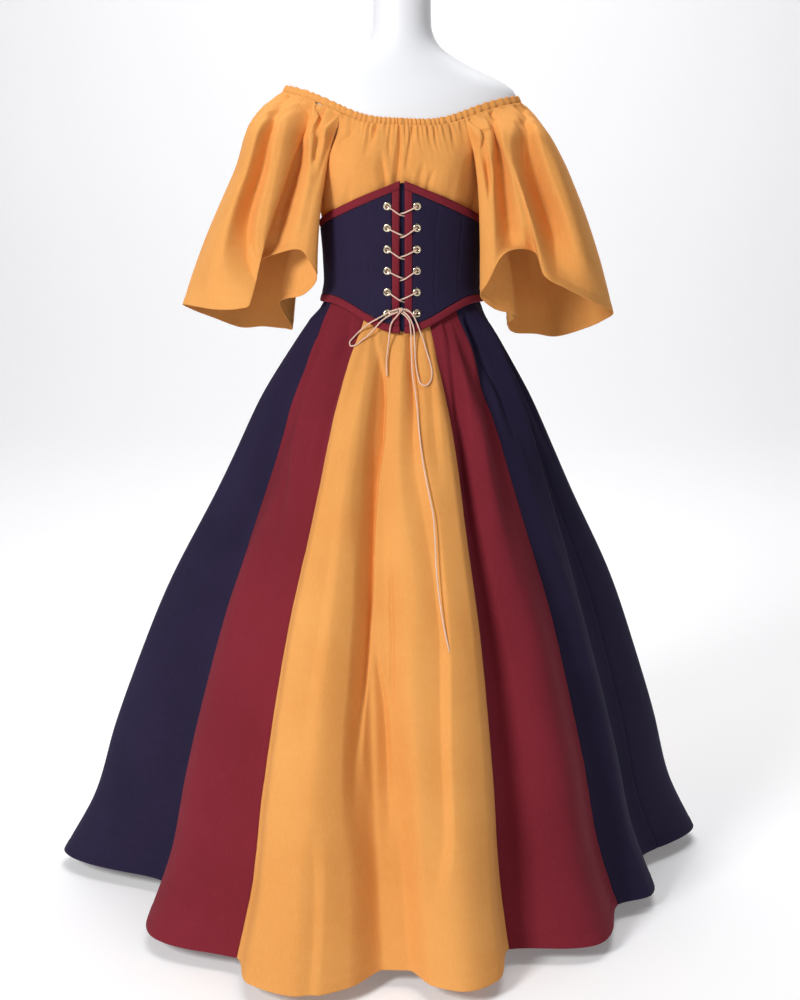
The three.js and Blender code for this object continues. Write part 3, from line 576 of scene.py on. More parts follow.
@dataclass
class Panel:
    """A piece of cloth on a surface that is a function of two shares, across and down."""

    name: str
    surface: Surface
    across: list[float]
    down: list[float]
    cut: Cut
    thickness: float
    offset: float = 0.0
    holes: list[tuple[Vector, float]] = field(default_factory=list)
    weave: Pair | None = None

    def build(self) -> bpy.types.Object:
        """Makes the cloth from a grid, with a UV map in metres and, where it has one, a live thickness.

        The UV map has the size of the cut, or that of the weave where it is given.

        Returns:
            The cloth's object.
        """
        mesh = bmesh.new()
        wide, tall = len(self.across) - 1, len(self.down) - 1
        bmesh.ops.create_grid(mesh, x_segments=wide, y_segments=tall, size=0.5)
        uv = mesh.loops.layers.uv.new("cloth")
        width, length = self.weave or (self.cut.width, self.cut.length)
        spots = {}
        for vertex in mesh.verts:
            column = round((vertex.co.x + 0.5) * wide)
            row = round((0.5 - vertex.co.y) * tall)
            spots[vertex.index] = (self.across[column], self.down[row])
        for face in mesh.faces:
            for loop in face.loops:
                across, down = spots[loop.vert.index]
                loop[uv].uv = (across * width, -down * length)
        for vertex in mesh.verts:
            vertex.co = self.surface(*spots[vertex.index])
        bmesh.ops.remove_doubles(mesh, verts=mesh.verts, dist=1e-5)
        bmesh.ops.recalc_face_normals(mesh, faces=mesh.faces)
        outward = sum(face.normal.dot(Vector((*face.calc_center_median().xy, 0.0))) for face in mesh.faces)
        if outward < 0:
            bmesh.ops.reverse_faces(mesh, faces=mesh.faces)
        for centre, radius in self.holes:
            self._punch(mesh, centre, radius)
        made = object_of(self.name, mesh)
        if self.thickness > 0:
            wall = made.modifiers.new("thickness", "SOLIDIFY")
            wall.thickness = self.thickness
            wall.offset = self.offset
        return made

    @staticmethod
    def _punch(mesh: bmesh.types.BMesh, centre: Vector, radius: float) -> None:
        """Cuts a round hole: faces inside it go, and the rim's points move onto its circle.

        Args:
            mesh: The cloth's bmesh.
            centre: The middle of the hole.
            radius: The hole's radius.
        """
        inside = [f for f in mesh.faces if (f.calc_center_median() - centre).length < radius]
        rim = {v for f in inside for v in f.verts}
        bmesh.ops.delete(mesh, geom=inside, context="FACES")
        for vertex in rim:
            if vertex.is_valid:
                arm = vertex.co - centre
                vertex.co = centre + arm.normalized() * radius


@dataclass
class Stitching:
    """A row of short stitches that lie on a line of cloth."""

    name: str
    pitch: float
    length: float
    width: float = 0.0006

    def build(self, line: Line) -> bpy.types.Object:
        """Makes the stitches.

        Args:
            line: Points along the row, each with the direction out of the cloth.

        Returns:
            The joined stitches.
        """
        mesh = bmesh.new()
        walked = 0.0
        goal = self.pitch / 2
        for (here, out), (there, _) in zip(line, line[1:]):
            step = there - here
            size = step.length
            while size > 0 and goal <= walked + size:
                spot = here + step * ((goal - walked) / size)
                self._stitch(mesh, spot, step.normalized(), out)
                goal += self.pitch
            walked += size
        return object_of(self.name, mesh)

    def _stitch(self, mesh: bmesh.types.BMesh, spot: Vector, along: Vector, out: Vector) -> None:
        """Adds one stitch, a small six-sided spindle.

        Args:
            mesh: The bmesh to add to.
            spot: The middle of the stitch.
            along: The direction of the row.
            out: The direction out of the cloth.
        """
        side = along.cross(out).normalized()
        up = side.cross(along)
        place = Matrix((along, side, up)).transposed().to_4x4()
        place.translation = spot
        shape = Matrix.Diagonal((self.length / 2, self.width / 2, self.width / 2, 1.0))
        bmesh.ops.create_icosphere(mesh, subdivisions=1, radius=1.0, matrix=place @ shape)


@dataclass(frozen=True)
class Level:
    """One height of the form: half its width, and its depth before and behind the axis."""

    z: float
    half: float
    front: float
    back: float


@dataclass
class Figure:
    """The surface of the dress form, which all the cloth follows."""

    levels: tuple[Level, ...] = (
        Level(0.775, 0.146, 0.092, 0.100),
        Level(0.800, 0.152, 0.096, 0.108),
        Level(0.860, 0.155, 0.099, 0.114),
        Level(0.920, 0.143, 0.095, 0.107),
        Level(0.965, 0.127, 0.091, 0.095),
        Level(1.007, 0.120, 0.088, 0.087),
        Level(1.060, 0.122, 0.091, 0.086),
        Level(1.120, 0.127, 0.097, 0.090),
        Level(1.160, 0.135, 0.102, 0.094),
        Level(1.206, 0.146, 0.106, 0.097),
        Level(1.250, 0.168, 0.098, 0.097),
        Level(1.282, 0.186, 0.089, 0.093),
        Level(1.308, 0.191, 0.082, 0.087),
        Level(1.325, 0.188, 0.076, 0.081),
        Level(1.338, 0.180, 0.071, 0.076),
        Level(1.350, 0.160, 0.067, 0.071),
        Level(1.362, 0.132, 0.064, 0.067),
        Level(1.376, 0.101, 0.060, 0.063),
        Level(1.392, 0.071, 0.056, 0.059),
        Level(1.411, 0.053, 0.051, 0.054),
        Level(1.434, 0.047, 0.048, 0.051),
        Level(1.492, 0.046, 0.047, 0.050),
    )
    bust_turn: float = 36.0
    bust_turn_reach: float = 21.0
    bust_z: float = 1.203
    bust_z_reach: float = 0.042
    bust_depth: float = 0.015
    lean_slope: float = -0.045
    lean_rise: Pair = (1.2, 1.29)
    lean_fade: Pair = (1.372, 1.43)
    heights: dict[float, Triple] = field(default_factory=dict)

    def __post_init__(self) -> None:
        """Makes the curves of the form's width and depth."""
        self.half = SmoothCurve([(row.z, row.half) for row in self.levels])
        self.front = SmoothCurve([(row.z, row.front) for row in self.levels])
        self.back = SmoothCurve([(row.z, row.back) for row in self.levels])

    def radius(self, turn: float, z: float) -> float:
        """Returns the distance of the form's surface from the axis, at a turn and a height."""
        key = round(z, 4)
        if key not in self.heights:
            self.heights[key] = (self.half.at(key), self.front.at(key), self.back.at(key))
        half, front, back = self.heights[key]
        sine, cosine = math.sin(math.radians(turn)), math.cos(math.radians(turn))
        depth = front if cosine >= 0 else back
        return half * depth / math.hypot(depth * sine, half * cosine) + self._bust(turn, z)

    def _bust(self, turn: float, z: float) -> float:
        """Returns how far the bust stands out at a turn and a height."""
        level = swell(z - self.bust_z, self.bust_z_reach)
        if level < 0.001:
            return 0.0
        place = wrap(turn)
        left = swell(place + self.bust_turn, self.bust_turn_reach)
        right = swell(place - self.bust_turn, self.bust_turn_reach)
        return self.bust_depth * level * (left + right)

    def lean(self, point: Vector) -> Vector:
        """Returns the point with the form's lower shoulder applied."""
        share = ease(point.z, *self.lean_rise) * (1 - ease(point.z, *self.lean_fade))
        return Vector((point.x, point.y, point.z + self.lean_slope * share * point.x))


FIGURE = Figure()


@dataclass
class DressForm:
    """The white form's smooth skin, closed at the neck and at its foot."""

    sides: int = 120
    rings: int = 120
    disc: float = 0.06
    foot_round: float = 0.012
    neck_round: float = 0.006

    def build(self, finishes: Finishes) -> None:
        """Makes the form.

        Args:
            finishes: The finishes to dress it in.
        """
        mesh = bmesh.new()
        bmesh.ops.create_grid(mesh, x_segments=self.sides, y_segments=self.rings, size=0.5)
        for vertex in mesh.verts:
            turn = (vertex.co.x + 0.5) * 360.0
            vertex.co = self._point(turn, vertex.co.y + 0.5)
        bmesh.ops.remove_doubles(mesh, verts=mesh.verts, dist=1e-6)
        bmesh.ops.recalc_face_normals(mesh, faces=mesh.faces)
        finishes.dress(object_of("form_skin", mesh), Slot.FORM, "form_torso")

    def _point(self, turn: float, share: float) -> Vector:
        """Returns a point of the skin: the foot's disc, the side and the neck's cap, in that order."""
        disc = self.disc
        if share < disc:
            inset = share / disc
            radius = (FIGURE.radius(turn, FORM_FOOT_Z) - self.foot_round) * inset
            return around(turn, radius, FORM_FOOT_Z)
        if share > 1 - disc:
            inset = (1 - share) / disc
            radius = (FIGURE.radius(turn, NECK_TOP_Z) - self.neck_round) * inset
            return around(turn, radius, NECK_TOP_Z)
        rise = (share - disc) / (1 - 2 * disc)
        z = mix(FORM_FOOT_Z, NECK_TOP_Z, rise)
        low = clamp((z - FORM_FOOT_Z) / self.foot_round)
        high = clamp((NECK_TOP_Z - z) / self.neck_round)
        inset = self.foot_round * (1 - math.sqrt(1 - (1 - low) ** 2))
        inset += self.neck_round * (1 - math.sqrt(1 - (1 - high) ** 2))
        return FIGURE.lean(around(turn, FIGURE.radius(turn, z) - inset, z))


@dataclass
class Stand:
    """The pole and the round foot under the form."""

    foot: tuple[Pair, ...] = (
        (0.0, 0.0), (0.161, 0.0), (0.1645, 0.0012), (0.165, 0.0045), (0.1638, 0.0085), (0.157, 0.0118),
        (0.036, 0.017), (0.0, 0.017),
    )
    boss: tuple[Pair, ...] = (
        (0.0, 0.0173), (0.0240, 0.0173), (0.0240, 0.020), (0.0228, 0.028), (0.0212, 0.057),
        (0.0200, 0.0612), (0.0170, 0.062), (0.0, 0.062),
    )
    pole_radius: float = 0.015
    pole_foot: float = 0.0623
    pole_top: float = 0.7747

    def build(self, finishes: Finishes) -> None:
        """Makes the foot, its boss and the pole."""
        edge = 0.001
        pole = (
            (0.0, self.pole_foot), (self.pole_radius - edge, self.pole_foot),
            (self.pole_radius, self.pole_foot + edge), (self.pole_radius, self.pole_top - edge),
            (self.pole_radius - edge, self.pole_top), (0.0, self.pole_top),
        )
        for name, node, profile in (
            ("foot_plate", "stand_foot", self.foot), ("foot_boss", "stand_boss", self.boss),
            ("form_pole", "stand_pole", pole),
        ):
            finishes.dress(spun(name, profile, Matrix.Identity(4), 96), Slot.STAND, node)


def spun(name: str, profile: Sequence[Pair], place: Matrix, steps: int) -> bpy.types.Object:
    """Spins a profile round its axis and puts it in place.

    Args:
        name: The piece's name.
        profile: Pairs of a distance from the axis and a height along it.
        place: Where the axis stands, with +Z along it.
        steps: How many steps the full turn has.

    Returns:
        The closed piece.
    """
    mesh = bmesh.new()
    points = [mesh.verts.new((radius, 0.0, height)) for radius, height in profile]
    edges = [mesh.edges.new(pair) for pair in zip(points, points[1:])]
    bmesh.ops.spin(mesh, geom=points + edges, cent=(0, 0, 0), axis=(0, 0, 1), dvec=(0, 0, 0),
                   angle=2 * math.pi, steps=steps, use_merge=True, use_duplicate=False)
    bmesh.ops.remove_doubles(mesh, verts=mesh.verts, dist=1e-7)
    bmesh.ops.recalc_face_normals(mesh, faces=mesh.faces)
    mesh.transform(place)
    made = object_of(name, mesh)
    made.data.set_sharp_from_angle(angle=math.radians(40))
    return made


@dataclass(frozen=True)
class Crease:
    """A soft trough or ridge that runs down the cloth.

    Its path goes from top to bottom, as pairs of a turn and a height. It reaches a distance to its
    left and its right, which grows with the skirt's flare, and its depth is negative for a trough.
    """

    path: tuple[Pair, ...]
    depth: float
    left: float
    right: float
    rise: float = 0.06
    fall: float = 0.12
    flares: float = 0.75
    waist_radius: float = 0.17
    trough_sharpness: float = 1.25

    def offset(self, turn: float, z: float, radius: float) -> float:
        """Returns how far the crease moves the cloth at a place.

        Args:
            turn: The place's turn.
            z: Its height.
            radius: The cloth's distance from the axis there.

        Returns:
            The move out from the axis.
        """
        top, low = self.path[0][1], self.path[-1][1]
        if z > top or z < low:
            return 0.0
        i = 0
        while self.path[i + 1][1] > z:
            i += 1
        (start, high), (end, foot) = self.path[i], self.path[i + 1]
        middle = mix(start, end, ease(high - z, 0.0, high - foot))
        side = math.radians(wrap(turn - middle)) * mix(radius, self.waist_radius, self.flares)
        reach = self.left if side < 0 else self.right
        if abs(side) > 4 * reach:
            return 0.0
        strength = ease(top - z, 0.0, self.rise) * ease(z - low, 0.0, self.fall)
        sharpness = self.trough_sharpness if self.depth < 0 else 2.0
        return self.depth * strength * swell(side, reach, sharpness)


@dataclass(frozen=True)
class Pleat:
    """A crisp pleat that runs down the cloth, with a slope on each side of its line.

    Each station gives a height, the turns where the slope starts, where the pleat's line is and where
    the other slope ends, and the line's depth, from top to bottom.
    """

    stations: tuple[tuple[float, float, float, float, float], ...]

    def offset(self, turn: float, z: float) -> float:
        """Returns how far the pleat moves the cloth at a place.

        Args:
            turn: The place's turn.
            z: Its height.

        Returns:
            The move out from the axis, which is never positive.
        """
        if z > self.stations[0][0] or z < self.stations[-1][0]:
            return 0.0
        i = 0
        while self.stations[i + 1][0] > z:
            i += 1
        above, under = self.stations[i], self.stations[i + 1]
        share = (above[0] - z) / (above[0] - under[0])
        left, line, right, depth = (mix(a, b, share) for a, b in zip(above[1:], under[1:]))
        if turn <= left or turn >= right:
            return 0.0
        share = (turn - left) / (line - left) if turn <= line else (right - turn) / (right - line)
        return -depth * mix(share, ease(share, 0.0, 1.0), 0.55)


@dataclass(frozen=True)
class Fold:
    """A large fold of the skirt: its turn at the waist, its turn at the hem and the hem's distance there."""

    waist: float
    hem: float
    radius: float


@dataclass(frozen=True)
class Gore:
    """One gore of the skirt, from seam to seam, at the waist and at the hem."""

    name: str
    slot: Slot
    start: float
    end: float
    hem_start: float
    hem_end: float
    columns: int
    cut: Cut


@dataclass
class Corset:
    """The waist corset: navy panels, burgundy bindings and its edges' heights."""

    lift: float = 0.0086
    front_lift: float = 0.0116
    front_reach: float = 32.0
    top_side_z: float = 1.122
    top_rise: float = 0.062
    top_reach: float = 85.0
    top_power: float = 1.15
    bottom_side_z: float = 0.988
    bottom_drop: float = 0.047
    bottom_reach: float = 72.0
    bottom_flare: float = 0.005
    flare_height: float = 0.04
    binding: float = 0.013
    front_gap: float = 0.004
    front_strip: float = 0.0125
    side_seam: float = 78.0
    bulge: float = 0.0017
    eyelet_x: float = 0.0235
    eyelet_top_z: float = 1.143
    eyelet_pitch: float = 0.034
    eyelet_rows: int = 6
    hole_radius: float = 0.0040
    thickness: float = 0.0022
    binding_thickness: float = 0.0028
    crimp: Ripple = Ripple(0.00022, 260, 2, 21.0)
    pull: Ripple = Ripple(0.0005, 5, 45, 3.0)
    fine_pull: Ripple = Ripple(0.0003, 16, 160, 8.0)
    back_pull: Ripple = Ripple(0.0008, 16, 50, 13.0)
    wrinkles: Ripple = Ripple(0.0006, 9, 70, 5.0)
    wrinkle_z: float = 1.02
    wrinkle_reach: float = 0.012
    channel: float = -0.0007
    front_channels: tuple[float, ...] = (0.30, 0.63)
    back_channels: tuple[float, ...] = (0.22, 0.5, 0.78)
    # Painted shade: a navy strip lies behind the laced gap to keep the gap dark. These are half its width and
    # its depth under the corset.
    gap_shade_half: float = 0.010
    gap_shade_lift: float = -0.0050

    def top(self, turn: float) -> float:
        """Returns the height of the top edge."""
        share = max(0.0, 1 - abs(wrap(turn)) / self.top_reach)
        return self.top_side_z + self.top_rise * share ** self.top_power

    def bottom(self, turn: float) -> float:
        """Returns the height of the bottom edge."""
        share = min(1.0, abs(wrap(turn)) / self.bottom_reach)
        return self.bottom_side_z - self.bottom_drop * (1 + math.cos(math.pi * share)) / 2

    def radius(self, turn: float, z: float) -> float:
        """Returns the distance of the corset's middle surface from the axis."""
        front = swell(wrap(turn), self.front_reach)
        low = self.bottom(turn)
        flare = self.bottom_flare * (1 - ease(z, low, low + self.flare_height))
        return FIGURE.radius(turn, z) + mix(self.lift, self.front_lift, front) + flare

    def turn_at(self, x: float, z: float) -> float:
        """Returns the turn at which the corset stands a distance to the side of the middle."""
        turn = 0.0
        for _ in range(5):
            turn = math.degrees(math.asin(clamp(x / self.radius(turn, z), -1, 1)))
        return turn

    def place(self, x: float, z: float, height: float) -> Vector:
        """Returns a point over the corset's front, at a height above its middle surface."""
        turn = self.turn_at(x, z)
        return around(turn, self.radius(turn, z), z) + self.outward(turn, z) * height

    def outward(self, turn: float, z: float) -> Vector:
        """Returns the direction straight out of the corset."""
        step, drop = 0.5, 0.0005
        across = around(turn + step, self.radius(turn + step, z), z)
        across -= around(turn - step, self.radius(turn - step, z), z)
        fall = around(turn, self.radius(turn, z - drop), z - drop)
        fall -= around(turn, self.radius(turn, z + drop), z + drop)
        return fall.cross(across).normalized()

    def eyelets(self, side: int) -> list[tuple[Vector, Vector]]:
        """Returns the middle of each eyelet of one side, top first, with the direction out of it."""
        found = []
        for row in range(self.eyelet_rows):
            z = self.eyelet_top_z - row * self.eyelet_pitch
            turn = self.turn_at(side * self.eyelet_x, z)
            found.append((around(turn, self.radius(turn, z), z), self.outward(turn, z)))
        return found

    def build(self, finishes: Finishes) -> None:
        """Makes the panels, the bindings and the stitching."""
        self._panels(finishes)
        self._bindings(finishes)

    def _band(self, turn_of: Callable[[float, float], float], high: Height, low: Height,
              relief: Callable[[float, float, float], float]) -> Surface:
        """Returns a surface on the corset.

        Args:
            turn_of: The turn of a share across at a height.
            high: The height of its upper edge at a turn.
            low: The height of its lower edge at a turn.
            relief: How far it stands out, by share across, share down and height.

        Returns:
            The surface.
        """
        def surface(across: float, down: float) -> Vector:
            turn, z = 0.0, WAIST_Z
            for _ in range(4):
                turn = turn_of(across, z)
                z = mix(high(turn), low(turn), down)
            return around(turn, self.radius(turn, z) + relief(across, down, z), z)
        return surface

    def _panels(self, finishes: Finishes) -> None:
        """Makes the two fronts, with their boning channels and eyelet holes, a navy strip of painted shade
        behind the laced gap, and the back.
        """
        inner = self.front_gap + self.front_strip + SEAM_GAP

        def front_relief(across: float, down: float, z: float) -> float:
            channels = self.channel * sum(swell(across - at, 0.012) for at in self.front_channels)
            waist = swell(z - self.wrinkle_z, self.wrinkle_reach) * self.wrinkles.at(across, z)
            return channels + self.pull.at(across, z) + self.fine_pull.at(across, z) + waist

        def back_relief(across: float, down: float, z: float) -> float:
            channels = self.channel * sum(swell(across - at, 0.006) for at in self.back_channels)
            return channels + self.back_pull.at(across, z) * (1 - abs(2 * across - 1)) ** 0.5

        for side, word in ((1, "right"), (-1, "left")):
            surface = self._band(
                lambda across, z, s=side: s * mix(self.turn_at(inner, z), self.side_seam - 0.1, across),
                *self._inside(), front_relief)
            front = Panel(f"corset_front_cloth_{word}", surface, spaced(72), spaced(56),
                          Cut(0.175, 0.165, 0.0245), self.thickness,
                          holes=[(spot, self.hole_radius) for spot, _ in self.eyelets(side)])
            finishes.sew(front, Slot.NAVY, f"corset_front_{word}")
        # Painted shade: a navy strip behind the laced gap keeps the gap dark.
        gap_shade_strip = Panel("corset_gap_shade_cloth", self._gap_shade_strip, spaced(6), spaced(60),
                        Cut(0.022, 0.225), 0.0008)
        finishes.sew(gap_shade_strip, Slot.NAVY, "corset_front_left")
        surface = self._band(lambda across, z: mix(self.side_seam + 0.1, 359.9 - self.side_seam, across),
                             *self._inside(), back_relief)
        back = Panel("corset_back_cloth", surface, spaced(110), spaced(40), Cut(0.375, 0.125), self.thickness)
        finishes.sew(back, Slot.NAVY, "corset_back")

    def _inside(self) -> tuple[Height, Height]:
        """Returns the heights between the top and the bottom binding, as functions of the turn."""
        margin = self.binding + SEAM_GAP
        return lambda turn: self.top(turn) - margin, lambda turn: self.bottom(turn) + margin

    def _gap_shade_strip(self, across: float, down: float) -> Vector:
        """Returns a point of the navy strip behind the laced gap, a sheet of painted shade that keeps the gap
        dark.
        """
        z = mix(self.top(0) - 0.006, self.bottom(0) + 0.004, down)
        return self.place(mix(-self.gap_shade_half, self.gap_shade_half, across), z, self.gap_shade_lift)

    def _rounded(self, share: float) -> float:
        """Returns how far a binding stands out, a share of the way across its width."""
        return self.bulge * (1 - abs(2 * share - 1) ** 5)

    def _bindings(self, finishes: Finishes) -> None:
        """Makes the rounded strips on all the edges, each with a row of stitches."""
        def lying(across: float, down: float, z: float) -> float:
            return self._rounded(down) + self.crimp.at(across, down)

        def upright(across: float, down: float, z: float) -> float:
            return self._rounded(across) + self.crimp.at(z, across, 1.0)

        def whole(across: float, z: float) -> float:
            edge = self.turn_at(self.front_gap, z)
            return mix(edge, 360 - edge, across)

        for node, high, low, stitch_at in (
            ("binding_top", self.top, lambda turn: self.top(turn) - self.binding, 0.93),
            ("binding_bottom", lambda turn: self.bottom(turn) + self.binding, self.bottom, 0.10),
        ):
            surface = self._band(whole, high, low, lying)
            strip = Panel(f"{node}_cloth", surface, spaced(420), spaced(8), Cut(0.84, 0.016),
                          self.binding_thickness, offset=-1)
            finishes.sew(strip, Slot.BURGUNDY, node)
            line = [(surface(share, stitch_at), self.outward(whole(share, WAIST_Z), WAIST_Z))
                    for share in spaced(520, 0.002, 0.998)]
            self._stitch(f"{node}_cloth_stitches", line, finishes)
        for side, word in ((1, "right"), (-1, "left")):
            surface = self._band(
                lambda across, z, s=side: s * self.turn_at(self.front_gap + self.front_strip * across, z),
                *self._inside(), upright)
            strip = Panel(f"binding_front_cloth_{word}", surface, spaced(8), spaced(130),
                          Cut(0.0155, 0.215), self.binding_thickness, offset=-1)
            finishes.sew(strip, Slot.BURGUNDY, f"binding_front_{word}")
            line = [(surface(0.90, down), Vector((0, -1, 0))) for down in spaced(120, 0.004, 0.996)]
            self._stitch(f"binding_front_stitches_{word}", line, finishes)

    @staticmethod
    def _stitch(name: str, line: Line, finishes: Finishes) -> None:
        """Lays a row of burgundy stitches along a line."""
        finishes.stitch(Stitching(name, pitch=0.0036, length=0.0025), Slot.BURGUNDY, line)


CORSET = Corset()


